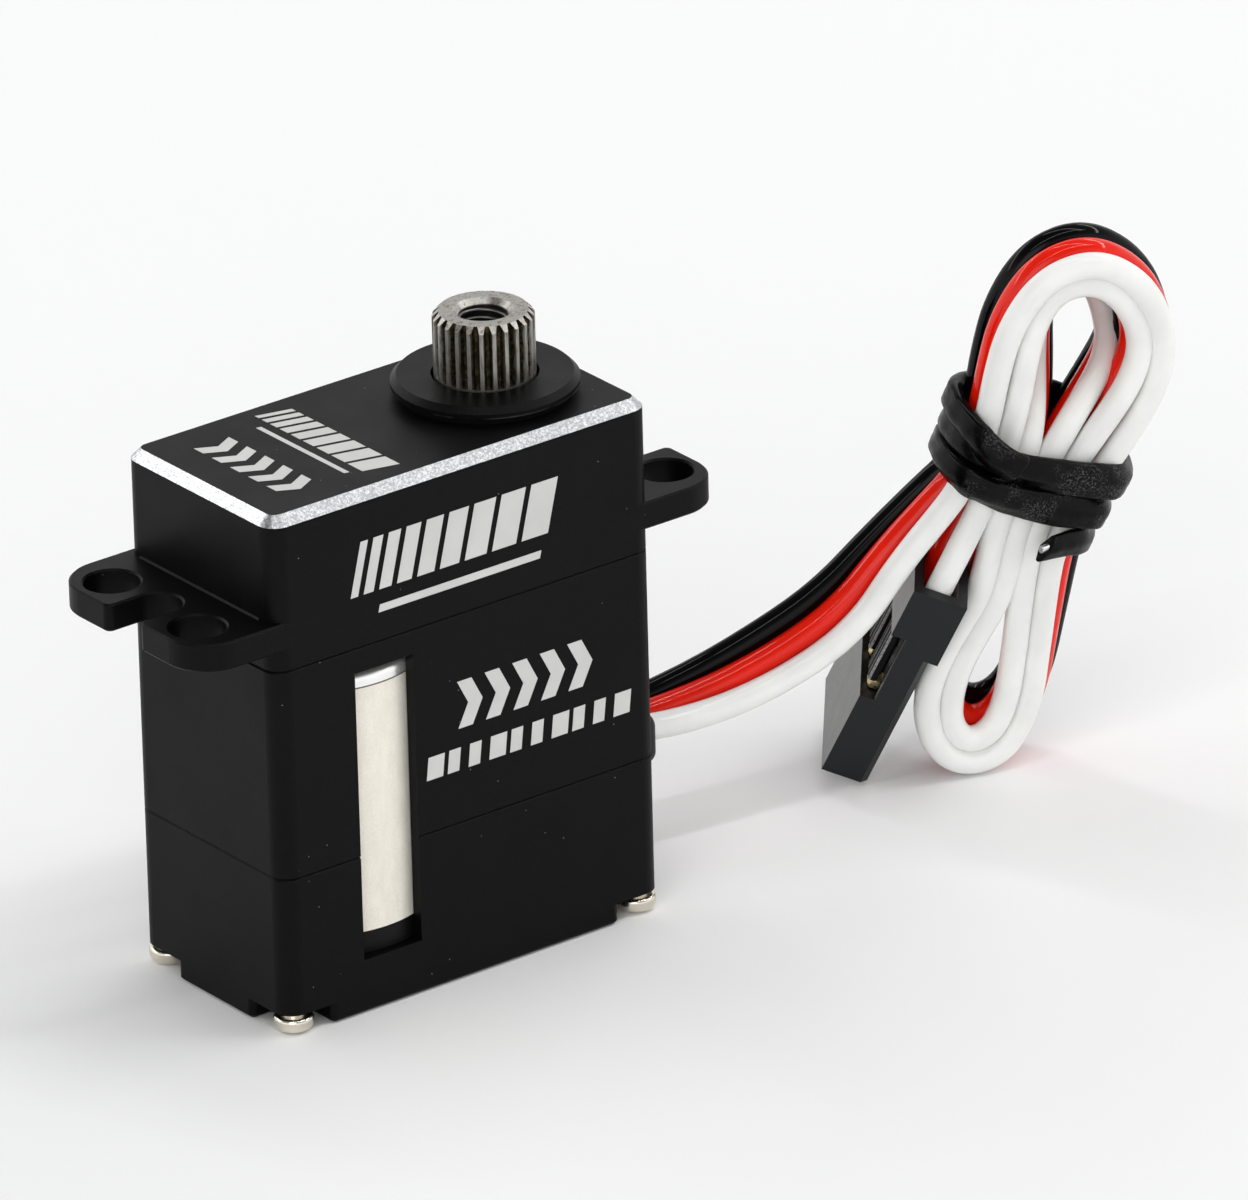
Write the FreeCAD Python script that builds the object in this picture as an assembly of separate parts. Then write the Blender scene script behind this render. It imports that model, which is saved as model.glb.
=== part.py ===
import FreeCAD, Part
import math
import os

# Micro servo motor: aluminium case in three shells, coreless motor, four-stage gear train,
# splined output shaft, position potentiometer, control board and a three-wire lead that is
# folded into a hank, tied, and ends in a three-way plug.
#
# Frame: millimetres, +Z up along the output shaft, +X along the long side towards the cable
# exit, -Y the face with the printed marks. Origin on the base, at the centre of the case.

os.makedirs("parts", exist_ok=True)
Vector = FreeCAD.Vector

# ---- case ----
CASE_X = 23.0
CASE_Y = 12.0
CASE_R = 1.0            # vertical edge radius
BASE_SEAM_Z = 8.32      # bottom cover meets middle case
TOP_SEAM_Z = 19.36      # middle case meets top case
TOP_Z = 27.45
WALL = 1.0
SEAM_BREAK = 0.08       # broken edges along both seams
TOP_CHAMFER = 0.5
FLOOR_Z = 1.8
DECK_Z = 17.75          # underside of the deck that carries the gears
ROOF_Z = 26.35

# ---- base corners and case screws ----
FOOT_X = 8.8            # half length of the foot along the front
FOOT_Y = 3.05           # half width of the foot at the ends
FOOT_Z = 1.05           # height of the corner recesses
FOOT_R = 0.35
FOOT_CHAMFER = 0.15
SCREW_X = 10.5
SCREW_Y = 5.1
SCREW_R = 0.6
SCREW_HEAD_R = 1.0
SCREW_HEAD_Z = 0.8     # top of the heads, a little below the case
SCREW_TOP_Z = 23.0
POST_R = 1.5

# ---- mounting tabs ----
TAB_X = 16.1
TAB_Z0 = 20.5
TAB_Z1 = 21.95
TAB_CORNER_R = 2.3
TAB_EDGE = 0.1
TAB_LEDGE = 0.1         # small ledge where the tabs meet the end walls
TAB_HOLE_X = 14.2
TAB_HOLE_Y = 3.5
TAB_HOLE_R = 1.4
SLOT_HALF = 1.25
SLOT_END_X = 14.05
SLOT_MOUTH_R = 0.4

# ---- axes of the train ----
MOTOR_X = -5.0
AXLE_X = 0.5
OUTPUT_X = 6.0
AXLE_R = 0.5

# ---- windows over the motor ----
WINDOW_X0 = -6.8
WINDOW_X1 = -3.3
WINDOW_Z0 = 2.8
WINDOW_Z1 = 18.1

# ---- motor ----
CAN_R = 5.6
CAN_WALL = 0.3
CAN_Z0 = 4.0
CAN_Z1 = 17.7
CAN_SHOULDER = 0.4
MOTOR_BORE_R = 5.65
MOTOR_SHAFT_R = 0.5
MOTOR_SCREW_Y = 3.0

# ---- gears: teeth, and the levels of their faces ----
PRESSURE = math.radians(25.0)
ADDENDUM = 0.95
DEDENDUM = 1.2
BACKLASH = 0.03
RUN_GAP = 0.03          # radial running gap on the axle and on the stem
MOTOR_PINION = (10, 19.6, 20.85)
GEAR_1_WHEEL = (46, 19.75, 20.65)
GEAR_1_PINION = (10, 20.65, 21.95)
GEAR_2_WHEEL = (44, 20.95, 21.85)
GEAR_2_PINION = (10, 21.85, 23.25)
GEAR_3_WHEEL = (34, 22.15, 23.15)
GEAR_3_PINION = (10, 23.15, 24.9)
OUTPUT_WHEEL = (26, 23.45, 24.85)

# ---- output shaft, bearing and boss ----
SPLINE_TEETH = 25
SPLINE_TIP_R = 2.52
SPLINE_ROOT_R = 2.2
SPLINE_Z0 = 28.45
SHAFT_TOP_Z = 31.7
SHAFT_CHAMFER = 0.3
JOURNAL_R = 2.5
HUB_R = 2.0
STEM_R = 0.6
STEM_Z0 = 15.3
HORN_HOLE_R = 1.2
HORN_HOLE_DEPTH = 5.0
HORN_SINK_R = 1.5
BEARING_R = 4.0
BEARING_Z0 = 25.05
BEARING_Z1 = 27.35
INNER_RING_R = 3.0
OUTER_RING_R = 3.5
BALL_R = 0.46
BALL_COUNT = 10
BOSS_R = 4.65
BOSS_NECK_R = 4.3
BOSS_NECK_Z = 27.85
BOSS_TOP_Z = 28.4
BOSS_HOLE_R = 2.66
RING_RELIEF_R = 3.25        # keeps the case clear of the turning inner ring
RING_RELIEF = 0.15
GEAR_POCKET_R = 4.85

# ---- potentiometer ----
POT_X0 = 2.0
POT_X1 = 10.1
POT_HALF_Y = 4.4
POT_Z0 = 13.9
POT_Z1 = 17.7
POT_TRACK_R = 3.3

# ---- control board ----
BOARD_Z0 = 1.9
BOARD_Z1 = 2.5

# ---- lead ----
WIRE_R = 0.65
WIRE_PITCH = 1.35
ROOT_X = 7.8            # where the wires stand on the board
EXIT_X = 14.2
EXIT_Z = 7.3
BOOT_X = 14.2
# Middle wire from the boot to the tie, with the direction across the three wires.
LEAD_ROUTE = [
    ((14.2, 0.0, 7.3), (0.0, 1.0, 0.0)),
    ((17.3, -0.55, 7.55), (0.25, 0.9, 0.35)),
    ((21.6, -1.45, 8.7), (-0.1, 0.75, 0.6)),
    ((25.6, -2.25, 10.5), (-0.2, 0.8, 0.55)),
    ((28.4, -2.8, 13.3), (0.1, 0.98, 0.15)),
    ((31.0, -3.35, 15.5), (0.29, 0.95, 0.1)),
]

# ---- hank: its own plane stands on the base plane, x along, y back, z up ----
HANK_AT = (32.56, -3.54, 0.0)
HANK_TURN = 17.0        # degrees about Z
HANK_LEAN = 6.0         # degrees towards the front
HANK_FRONT = -0.7       # front and back of the folded ribbon
HANK_BACK = 3.4
HANK_LOW_LOBE = ((0.95, 3.5, 3.4), (3.3, 14.2, 2.8))     # two circles: x, z, radius
HANK_TOP_LOBE = ((3.4, 16.6, 3.6), (5.75, 23.2, 5.35))
HANK_INNER_LOBE = ((6.2, 21.6, 2.4), (6.6, 23.2, 2.8))   # the inner turn stands behind the others
HANK_INNER_BACK = 8.1
HANK_LOW_SKEW = 0.4     # sideways drift of the back wires, per millimetre of depth
HANK_TOP_SKEW = 0.15
TIE_AT = (3.1, 15.8)
TIE_SLANT = 15.0
TIE_HALF = 4.9
TIE_WALL = 0.9
TIE_WIDTH = 4.4

# ---- plug ----
PLUG_AT = (28.0, -1.33, 0.02)    # its lowest corner
PLUG_LENGTH_WAY = (0.172, -0.417, 0.892)
PLUG_WIDTH_WAY = (0.63, 0.743, 0.226)
PLUG_L = 12.2
PLUG_W = 7.4
PLUG_T = 2.45
PLUG_HEAD_L = 3.9
PLUG_HEAD_STEP = 0.4
PLUG_BEVEL = 0.35
PLUG_WINDOW = (5.1, 9.2)         # ends of the latch recess
PLUG_WINDOW_DEPTH = 0.8
PLUG_POCKET = 2.4
PIN_PITCH = 2.54


# ---- small helpers ----
def box(x0, x1, y0, y1, z0, z1):
    return Part.makeBox(x1 - x0, y1 - y0, z1 - z0, Vector(x0, y0, z0))


def cylinder(x, y, z0, z1, r):
    return Part.makeCylinder(r, z1 - z0, Vector(x, y, z0))


def tube(x, y, z0, z1, outer, inner):
    return cylinder(x, y, z0, z1, outer).cut(cylinder(x, y, z0, z1, inner))


def is_upright(edge):
    a, b = edge.Vertexes[0].Point, edge.Vertexes[-1].Point
    return abs(a.z - b.z) > 1e-6 and abs(a.x - b.x) < 1e-6 and abs(a.y - b.y) < 1e-6


def rounded(half_x, half_y, z0, z1, r):
    block = box(-half_x, half_x, -half_y, half_y, z0, z1)
    return block.makeFillet(r, [e for e in block.Edges if is_upright(e)])


def edges_at(shape, z):
    """Edges that lie wholly at one height."""
    return [e for e in shape.Edges if abs(e.BoundBox.ZMin - z) < 1e-6 and abs(e.BoundBox.ZMax - z) < 1e-6]


def broken(shape, z, size):
    """The shape with its outline at one height chamfered."""
    return shape.makeChamfer(size, edges_at(shape, z))


def four(x, y):
    return [(x, y), (-x, y), (-x, -y), (x, -y)]


def union(shapes):
    return shapes[0].multiFuse(shapes[1:]).removeSplitter()


def save(name, shape):
    solids = shape.Solids
    result = solids[0] if len(solids) == 1 else Part.makeCompound(solids)
    assert result.isValid(), name
    result.exportStep(f"parts/{name}.step")
    print(f"{name}: {len(solids)} solid(s), {result.Volume:.2f} mm3")


def frame_of(at, x_way, y_way, z_way):
    """Placement that carries local x, y, z onto three unit directions."""
    x, y, z = x_way, y_way, z_way
    matrix = FreeCAD.Matrix(
        x.x, y.x, z.x, at.x,
        x.y, y.y, z.y, at.y,
        x.z, y.z, z.z, at.z,
        0, 0, 0, 1,
    )
    return FreeCAD.Placement(matrix)


def placed(shape, placement):
    moved = shape.copy()
    moved.Placement = placement.multiply(moved.Placement)
    return moved


# ---- case shells ----
def corner_posts(z0, z1):
    return [cylinder(x, y, z0, z1, POST_R) for x, y in four(SCREW_X, SCREW_Y)]


def case_room(z0, z1):
    """The space inside the walls, with the four screw posts left standing."""
    inside_x = CASE_X / 2 - WALL
    inside_y = CASE_Y / 2 - WALL
    room = box(-inside_x, inside_x, -inside_y, inside_y, z0, z1)
    return room.cut(Part.makeCompound(corner_posts(z0, z1)))


def motor_bore(z0, z1):
    return cylinder(MOTOR_X, 0, z0, z1, MOTOR_BORE_R)


def windows(z0, z1):
    """Openings in the front and back walls over the motor."""
    outside = CASE_Y / 2 + 1
    inside = CASE_Y / 2 - WALL - 0.2
    return [
        box(WINDOW_X0, WINDOW_X1, -outside, -inside, z0, z1),
        box(WINDOW_X0, WINDOW_X1, inside, outside, z0, z1),
    ]


def bottom_cover():
    foot_long = rounded(CASE_X / 2, FOOT_Y, 0, FOOT_Z + 1, FOOT_R)
    foot_wide = rounded(FOOT_X, CASE_Y / 2, 0, FOOT_Z + 1, FOOT_R)
    foot = broken(foot_long, 0, FOOT_CHAMFER).fuse(broken(foot_wide, 0, FOOT_CHAMFER))
    shell = rounded(CASE_X / 2, CASE_Y / 2, FOOT_Z, BASE_SEAM_Z, CASE_R)
    shell = broken(shell, BASE_SEAM_Z, SEAM_BREAK)
    shell = shell.fuse(foot.common(box(-20, 20, -20, 20, 0, FOOT_Z)))
    shell = shell.cut(case_room(FLOOR_Z, BASE_SEAM_Z + 1))
    shell = shell.cut(motor_bore(WINDOW_Z0 - 0.15, BASE_SEAM_Z + 1))
    cuts = windows(WINDOW_Z0, BASE_SEAM_Z + 1)
    cuts += [cylinder(x, y, 0, BASE_SEAM_Z + 1, SCREW_R + 0.05) for x, y in four(SCREW_X, SCREW_Y)]
    cuts.append(box(CASE_X / 2 - WALL - 0.5, CASE_X / 2 + 1, -2.2, 2.2, 5.9, BASE_SEAM_Z + 1))
    return shell.cut(Part.makeCompound(cuts)).removeSplitter()


def middle_case():
    shell = rounded(CASE_X / 2, CASE_Y / 2, BASE_SEAM_Z, TOP_SEAM_Z, CASE_R)
    shell = broken(shell, BASE_SEAM_Z, SEAM_BREAK)
    shell = broken(shell, TOP_SEAM_Z, SEAM_BREAK)
    shell = shell.cut(case_room(BASE_SEAM_Z - 1, DECK_Z))
    shell = shell.cut(motor_bore(BASE_SEAM_Z - 1, DECK_Z))
    cuts = windows(BASE_SEAM_Z - 1, WINDOW_Z1)
    cuts += [cylinder(x, y, BASE_SEAM_Z - 1, TOP_SEAM_Z + 1, SCREW_R + 0.05) for x, y in four(SCREW_X, SCREW_Y)]
    cuts.append(cylinder(MOTOR_X, 0, DECK_Z - 1, TOP_SEAM_Z + 1, 1.65))
    for y in (-MOTOR_SCREW_Y, MOTOR_SCREW_Y):
        cuts.append(cylinder(MOTOR_X, y, DECK_Z - 1, TOP_SEAM_Z + 1, 0.55))
        cuts.append(cylinder(MOTOR_X, y, TOP_SEAM_Z - 0.6, TOP_SEAM_Z + 1, 1.05))
    cuts.append(cylinder(AXLE_X, 0, 18.2, TOP_SEAM_Z + 1, AXLE_R))
    cuts.append(cylinder(OUTPUT_X, 0, DECK_Z - 1, TOP_SEAM_Z + 1, 1.4))
    return shell.cut(Part.makeCompound(cuts)).removeSplitter()


def tab_slot(side):
    """Open slot of one tab, with rounded lips at its mouth."""
    far = TAB_X + 1
    slot = cylinder(side * SLOT_END_X, 0, TAB_Z0 - 1, TAB_Z1 + 1, SLOT_HALF)
    x0, x1 = sorted((side * SLOT_END_X, side * far))
    slot = slot.fuse(box(x0, x1, -SLOT_HALF, SLOT_HALF, TAB_Z0 - 1, TAB_Z1 + 1))
    x0, x1 = sorted((side * (TAB_X - SLOT_MOUTH_R), side * far))
    lip = SLOT_HALF + SLOT_MOUTH_R
    mouth = box(x0, x1, -lip, lip, TAB_Z0 - 1, TAB_Z1 + 1)
    for y in (-lip, lip):
        corner = cylinder(side * (TAB_X - SLOT_MOUTH_R), y, TAB_Z0 - 1, TAB_Z1 + 1, SLOT_MOUTH_R)
        mouth = mouth.cut(corner)
    return slot.fuse(mouth)


def tabs():
    plate = rounded(TAB_X, CASE_Y / 2, TAB_Z0, TAB_Z1, TAB_CORNER_R)
    plate = plate.cut(tab_slot(1)).cut(tab_slot(-1))
    holes = [cylinder(x, y, TAB_Z0 - 1, TAB_Z1 + 1, TAB_HOLE_R) for x, y in four(TAB_HOLE_X, TAB_HOLE_Y)]
    plate = plate.cut(Part.makeCompound(holes))
    for z in (TAB_Z0, TAB_Z1):
        plate = broken(plate, z, TAB_EDGE)
    ledge = box(-CASE_X / 2 - TAB_LEDGE, CASE_X / 2 + TAB_LEDGE, -4.9, 4.9, TAB_Z1 - 0.1, TAB_Z1 + TAB_LEDGE)
    return plate.fuse(broken(ledge, TAB_Z1 + TAB_LEDGE, TAB_LEDGE * 0.9))


def output_boss():
    disc = cylinder(OUTPUT_X, 0, BOSS_NECK_Z, BOSS_TOP_Z, BOSS_R)
    disc = broken(disc, BOSS_TOP_Z, 0.3)
    neck = cylinder(OUTPUT_X, 0, TOP_Z - 1, BOSS_TOP_Z, BOSS_NECK_R)
    return disc.fuse(neck)


def top_case():
    shell = rounded(CASE_X / 2, CASE_Y / 2, TOP_SEAM_Z, TOP_Z, CASE_R)
    shell = broken(shell, TOP_Z, TOP_CHAMFER)
    shell = broken(shell, TOP_SEAM_Z, SEAM_BREAK)
    shell = shell.fuse(tabs()).fuse(output_boss())
    room = case_room(TOP_SEAM_Z - 1, ROOF_Z)
    room = room.cut(cylinder(OUTPUT_X, 0, BEARING_Z0, ROOF_Z + 1, BEARING_R + 0.7))
    room = room.fuse(cylinder(OUTPUT_X, 0, TOP_SEAM_Z - 1, BEARING_Z0, GEAR_POCKET_R))
    shell = shell.cut(room)
    cuts = [
        cylinder(OUTPUT_X, 0, BEARING_Z0 - 1, BEARING_Z1, BEARING_R),
        cylinder(OUTPUT_X, 0, BEARING_Z1 - 1, BEARING_Z1 + RING_RELIEF, RING_RELIEF_R),
        cylinder(OUTPUT_X, 0, BEARING_Z1 - 1, BOSS_TOP_Z + 1, BOSS_HOLE_R),
        cylinder(AXLE_X, 0, ROOF_Z - 1, ROOF_Z + 0.5, AXLE_R),
    ]
    cuts += [cylinder(x, y, TOP_SEAM_Z - 1, SCREW_TOP_Z, SCREW_R) for x, y in four(SCREW_X, SCREW_Y)]
    return shell.cut(Part.makeCompound(cuts)).removeSplitter()


def case_screw(x, y):
    """Pan-head screw, head down, that runs up through all three shells."""
    head = cylinder(x, y, 0.02, SCREW_HEAD_Z, SCREW_HEAD_R)
    head = head.makeFillet(0.42, edges_at(head, 0.02))
    head = head.makeFillet(0.2, edges_at(head, SCREW_HEAD_Z))
    recess = [
        box(x - 0.6, x + 0.6, y - 0.11, y + 0.11, 0, 0.42),
        box(x - 0.11, x + 0.11, y - 0.6, y + 0.6, 0, 0.42),
    ]
    head = head.cut(Part.makeCompound(recess))
    return head.fuse(cylinder(x, y, SCREW_HEAD_Z - 0.1, SCREW_TOP_Z - 0.3, SCREW_R))


# ---- motor ----
def motor_can():
    can = cylinder(MOTOR_X, 0, CAN_Z0, CAN_Z1, CAN_R)
    can = can.makeFillet(CAN_SHOULDER, edges_at(can, CAN_Z1))
    can = can.cut(cylinder(MOTOR_X, 0, CAN_Z0 - 1, CAN_Z1 - 0.7, CAN_R - CAN_WALL))
    can = can.fuse(cylinder(MOTOR_X, 0, CAN_Z1 - 0.2, 18.4, 1.6))
    holes = [cylinder(MOTOR_X, 0, 0, 30, 1.0)]
    holes += [cylinder(MOTOR_X, y, 0, 30, 0.5) for y in (-MOTOR_SCREW_Y, MOTOR_SCREW_Y)]
    return can.cut(Part.makeCompound(holes))


def motor_end_cap():
    cap = cylinder(MOTOR_X, 0, WINDOW_Z0, CAN_Z0, CAN_R - 0.05)
    cap = cap.fuse(cylinder(MOTOR_X, 0, CAN_Z0, CAN_Z0 + 0.6, CAN_R - CAN_WALL))
    cap = cap.cut(cylinder(MOTOR_X, 0, WINDOW_Z0 + 0.6, 6, 4.4))
    return cap.cut(cylinder(MOTOR_X, 0, 0, 6, MOTOR_SHAFT_R + RUN_GAP))


def motor_magnet():
    return tube(MOTOR_X, 0, 6.0, 16.2, 3.7, 1.0)


def motor_winding():
    cup = tube(MOTOR_X, 0, 5.6, 16.4, 4.8, 4.1)
    return cup.fuse(tube(MOTOR_X, 0, 5.0, 5.7, 4.8, MOTOR_SHAFT_R))


def motor_commutator():
    return tube(MOTOR_X, 0, 3.9, 5.0, 1.2, MOTOR_SHAFT_R)


def motor_brushes():
    blocks = [box(MOTOR_X - 0.6, MOTOR_X + 0.6, 1.25, 3.0, 4.0, 4.7)]
    blocks.append(box(MOTOR_X - 0.6, MOTOR_X + 0.6, -3.0, -1.25, 4.0, 4.7))
    return Part.makeCompound(blocks)


def motor_terminals():
    pins = [box(MOTOR_X - 0.4, MOTOR_X + 0.4, y - 0.15, y + 0.15, BOARD_Z1, WINDOW_Z0) for y in (-3.4, 3.4)]
    return Part.makeCompound(pins)


def motor_screw(y):
    head = cylinder(MOTOR_X, y, TOP_SEAM_Z - 0.6, TOP_SEAM_Z - 0.05, 0.9)
    return head.fuse(cylinder(MOTOR_X, y, 17.0, TOP_SEAM_Z - 0.6, 0.5))


# ---- gears ----
def involute(angle):
    return math.tan(angle) - angle


def tooth_flank(teeth, module, radius):
    """Half angle of a tooth at one radius."""
    pitch_r = module * teeth / 2
    base_r = pitch_r * math.cos(PRESSURE)
    half_at_pitch = (math.pi * module / 2 - BACKLASH / 2) / (2 * pitch_r)
    here = math.acos(min(1.0, base_r / max(radius, base_r)))
    return half_at_pitch + involute(PRESSURE) - involute(here)


def toothed_wheel(x, level, module, bore_r, tooth_angle):
    """Spur gear with one tooth centred on tooth_angle."""
    teeth, z0, z1 = level
    pitch_r = module * teeth / 2
    root_r = pitch_r - DEDENDUM * module
    tip_r = pitch_r + ADDENDUM * module
    start_r = max(root_r, pitch_r * math.cos(PRESSURE))
    radii = [root_r] if start_r > root_r else []
    radii += [start_r + (tip_r - start_r) * k / 3 for k in range(4)]
    points = []
    for tooth in range(teeth):
        middle = tooth_angle + 2 * math.pi * tooth / teeth
        sides = [(r, middle - tooth_flank(teeth, module, r)) for r in radii]
        sides += [(r, middle + tooth_flank(teeth, module, r)) for r in reversed(radii)]
        points += [Vector(x + r * math.cos(a), r * math.sin(a), z0) for r, a in sides]
    face = Part.Face(Part.makePolygon(points + points[:1]))
    return face.extrude(Vector(0, 0, z1 - z0)).cut(cylinder(x, 0, z0 - 1, z1 + 1, bore_r))


def module_of(distance, pinion, wheel):
    return 2 * distance / (pinion[0] + wheel[0])


def gear_train():
    """Four meshing pairs, from the motor pinion to the output wheel."""
    first = AXLE_X - MOTOR_X
    step = OUTPUT_X - AXLE_X
    on_axle = AXLE_R + RUN_GAP
    on_stem = STEM_R + RUN_GAP
    m1 = module_of(first, MOTOR_PINION, GEAR_1_WHEEL)
    m2 = module_of(step, GEAR_1_PINION, GEAR_2_WHEEL)
    m3 = module_of(step, GEAR_2_PINION, GEAR_3_WHEEL)
    m4 = module_of(step, GEAR_3_PINION, OUTPUT_WHEEL)
    towards_motor = math.pi
    wheels = {
        "motor_pinion": (MOTOR_X, MOTOR_PINION, m1, MOTOR_SHAFT_R, 0),
        "gear_1_wheel": (AXLE_X, GEAR_1_WHEEL, m1, on_axle, towards_motor + math.pi / GEAR_1_WHEEL[0]),
        "gear_1_pinion": (AXLE_X, GEAR_1_PINION, m2, on_axle, 0),
        "gear_2_wheel": (OUTPUT_X, GEAR_2_WHEEL, m2, on_stem, towards_motor + math.pi / GEAR_2_WHEEL[0]),
        "gear_2_pinion": (OUTPUT_X, GEAR_2_PINION, m3, on_stem, towards_motor),
        "gear_3_wheel": (AXLE_X, GEAR_3_WHEEL, m3, on_axle, math.pi / GEAR_3_WHEEL[0]),
        "gear_3_pinion": (AXLE_X, GEAR_3_PINION, m4, on_axle, 0),
        "output_gear": (OUTPUT_X, OUTPUT_WHEEL, m4, HUB_R, towards_motor + math.pi / OUTPUT_WHEEL[0]),
    }
    return {name: toothed_wheel(*wheel) for name, wheel in wheels.items()}


# ---- output shaft and its bearing ----
def spline():
    """External spline with flat-topped teeth."""
    pitch = 2 * math.pi / SPLINE_TEETH
    points = []
    for tooth in range(SPLINE_TEETH):
        middle = tooth * pitch
        corners = [(SPLINE_ROOT_R, -0.36), (SPLINE_TIP_R, -0.15), (SPLINE_TIP_R, 0.15), (SPLINE_ROOT_R, 0.36)]
        for r, share in corners:
            a = middle + share * pitch
            points.append(Vector(OUTPUT_X + r * math.cos(a), r * math.sin(a), SPLINE_Z0))
    face = Part.Face(Part.makePolygon(points + points[:1]))
    toothed = face.extrude(Vector(0, 0, SHAFT_TOP_Z - SPLINE_Z0))
    limit = cylinder(OUTPUT_X, 0, SPLINE_Z0 - 1, SHAFT_TOP_Z, SPLINE_TIP_R)
    return toothed.common(broken(limit, SHAFT_TOP_Z, SHAFT_CHAMFER))


def output_shaft():
    shaft = cylinder(OUTPUT_X, 0, 24.95, SPLINE_Z0, JOURNAL_R)
    shaft = shaft.fuse(cylinder(OUTPUT_X, 0, 23.4, 24.95, HUB_R))
    shaft = shaft.fuse(cylinder(OUTPUT_X, 0, STEM_Z0, 23.4, STEM_R))
    shaft = shaft.fuse(spline())
    shaft = shaft.cut(cylinder(OUTPUT_X, 0, SHAFT_TOP_Z - HORN_HOLE_DEPTH, SHAFT_TOP_Z + 1, HORN_HOLE_R))
    sink = HORN_SINK_R - HORN_HOLE_R
    cone = Part.makeCone(HORN_HOLE_R, HORN_SINK_R, sink, Vector(OUTPUT_X, 0, SHAFT_TOP_Z - sink))
    return shaft.cut(cone)


def ball_ring_middle():
    return Vector(OUTPUT_X, 0, (BEARING_Z0 + BEARING_Z1) / 2)


def ball_track_r():
    return (INNER_RING_R + OUTER_RING_R) / 2


def bearing_race(outer, inner):
    groove = Part.makeTorus(ball_track_r(), BALL_R + 0.02, ball_ring_middle())
    return tube(OUTPUT_X, 0, BEARING_Z0, BEARING_Z1, outer, inner).cut(groove)


def bearing_balls(radius):
    balls = []
    for k in range(BALL_COUNT):
        a = 2 * math.pi * k / BALL_COUNT
        way = Vector(math.cos(a), math.sin(a), 0) * ball_track_r()
        balls.append(Part.makeSphere(radius, ball_ring_middle() + way))
    return Part.makeCompound(balls)


def bearing_cage():
    ring = tube(OUTPUT_X, 0, BEARING_Z0 + 0.3, BEARING_Z1 - 1.0, 3.42, 3.08)
    return ring.cut(bearing_balls(BALL_R + 0.02))


# ---- potentiometer ----
def pot_body():
    body = box(POT_X0, POT_X1, -POT_HALF_Y, POT_HALF_Y, POT_Z0, POT_Z1)
    body = body.cut(cylinder(OUTPUT_X, 0, POT_Z0 + 0.7, POT_Z1 - 0.7, POT_TRACK_R))
    body = body.cut(cylinder(OUTPUT_X, 0, POT_Z0 + 0.7, POT_Z1 + 1, 1.0))
    posts = [cylinder(SCREW_X, y, POT_Z0 - 1, POT_Z1 + 1, POST_R + 0.1) for y in (-SCREW_Y, SCREW_Y)]
    return body.cut(Part.makeCompound(posts))


def pot_wiper():
    hub = tube(OUTPUT_X, 0, 15.0, 16.8, 0.95, STEM_R)
    return hub.fuse(tube(OUTPUT_X, 0, 15.0, 15.4, 3.0, 0.9))


def pot_leads():
    return Part.makeCompound([cylinder(2.5, y, BOARD_Z1, POT_Z0, 0.3) for y in (-2.3, 0, 2.3)])


# ---- control board ----
def control_board():
    board = box(-10.3, 10.3, -4.8, 4.8, BOARD_Z0, BOARD_Z1)
    notches = [cylinder(x, y, BOARD_Z0 - 1, BOARD_Z1 + 1, POST_R + 0.2) for x, y in four(SCREW_X, SCREW_Y)]
    return board.cut(Part.makeCompound(notches))


def board_chips():
    return box(3.1, 6.7, -1.8, 1.8, BOARD_Z1, BOARD_Z1 + 0.85)


def board_transistors():
    blocks = []
    for x in (1.6, 4.4):
        for y in (-4.5, 2.7):
            blocks.append(box(x, x + 1.9, y, y + 1.6, BOARD_Z1, BOARD_Z1 + 0.6))
    return Part.makeCompound(blocks)


def board_capacitor():
    can = cylinder(7.8, -3.3, BOARD_Z1, BOARD_Z1 + 3.2, 1.2)
    return can.makeFillet(0.2, edges_at(can, BOARD_Z1 + 3.2))


# ---- lead ----
def bent_tube(points, radius):
    """Round tube along straight runs joined by tangent arcs, as large as their runs allow."""
    points = [Vector(*p) for p in points]
    edges, radii = [], []
    start = points[0]
    length = 0
    for before, corner, after in zip(points, points[1:], points[2:]):
        way_in = (corner - before).normalize()
        way_out = (after - corner).normalize()
        turn = way_in.getAngle(way_out)
        trim = 0.45 * min((corner - before).Length, (after - corner).Length)
        bend = trim / math.tan(turn / 2)
        radii.append(bend)
        enter = corner - way_in * trim
        leave = corner + way_out * trim
        inward = (way_out - way_in).normalize()
        middle = corner + inward * (bend / math.cos(turn / 2) - bend)
        edges.append(Part.LineSegment(start, enter).toShape())
        edges.append(Part.Arc(enter, middle, leave).toShape())
        length += (enter - start).Length + bend * turn
        start = leave
    edges.append(Part.LineSegment(start, points[-1]).toShape())
    length += (points[-1] - start).Length
    profile = Part.Wire([Part.Circle(points[0], points[1] - points[0], radius).toShape()])
    pipe = Part.Wire(edges).makePipeShell([profile], True, False)
    share = pipe.Volume / (math.pi * radius**2 * length)
    print(f"  radii {[round(r, 1) for r in radii]}, length {length:.1f}, volume share {share:.3f}")
    return pipe


def wire_route(place):
    """One wire's route: place is -1 for the front wire, 0 for the middle and 1 for the back."""
    route = []
    for at, across in LEAD_ROUTE:
        way = Vector(*across).normalize()
        route.append(Vector(*at) + way * (place * WIRE_PITCH))
    return route


def lead_roots():
    """The three wires inside the case, from the board to just inside the end of the boot."""
    roots = []
    for place in (-1, 0, 1):
        y = place * WIRE_PITCH
        end = (EXIT_X - 0.2, y, EXIT_Z)
        roots.append(bent_tube([(ROOT_X, y, BOARD_Z1), (ROOT_X, y, EXIT_Z), end], WIRE_R))
    return Part.makeCompound(roots)


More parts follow.
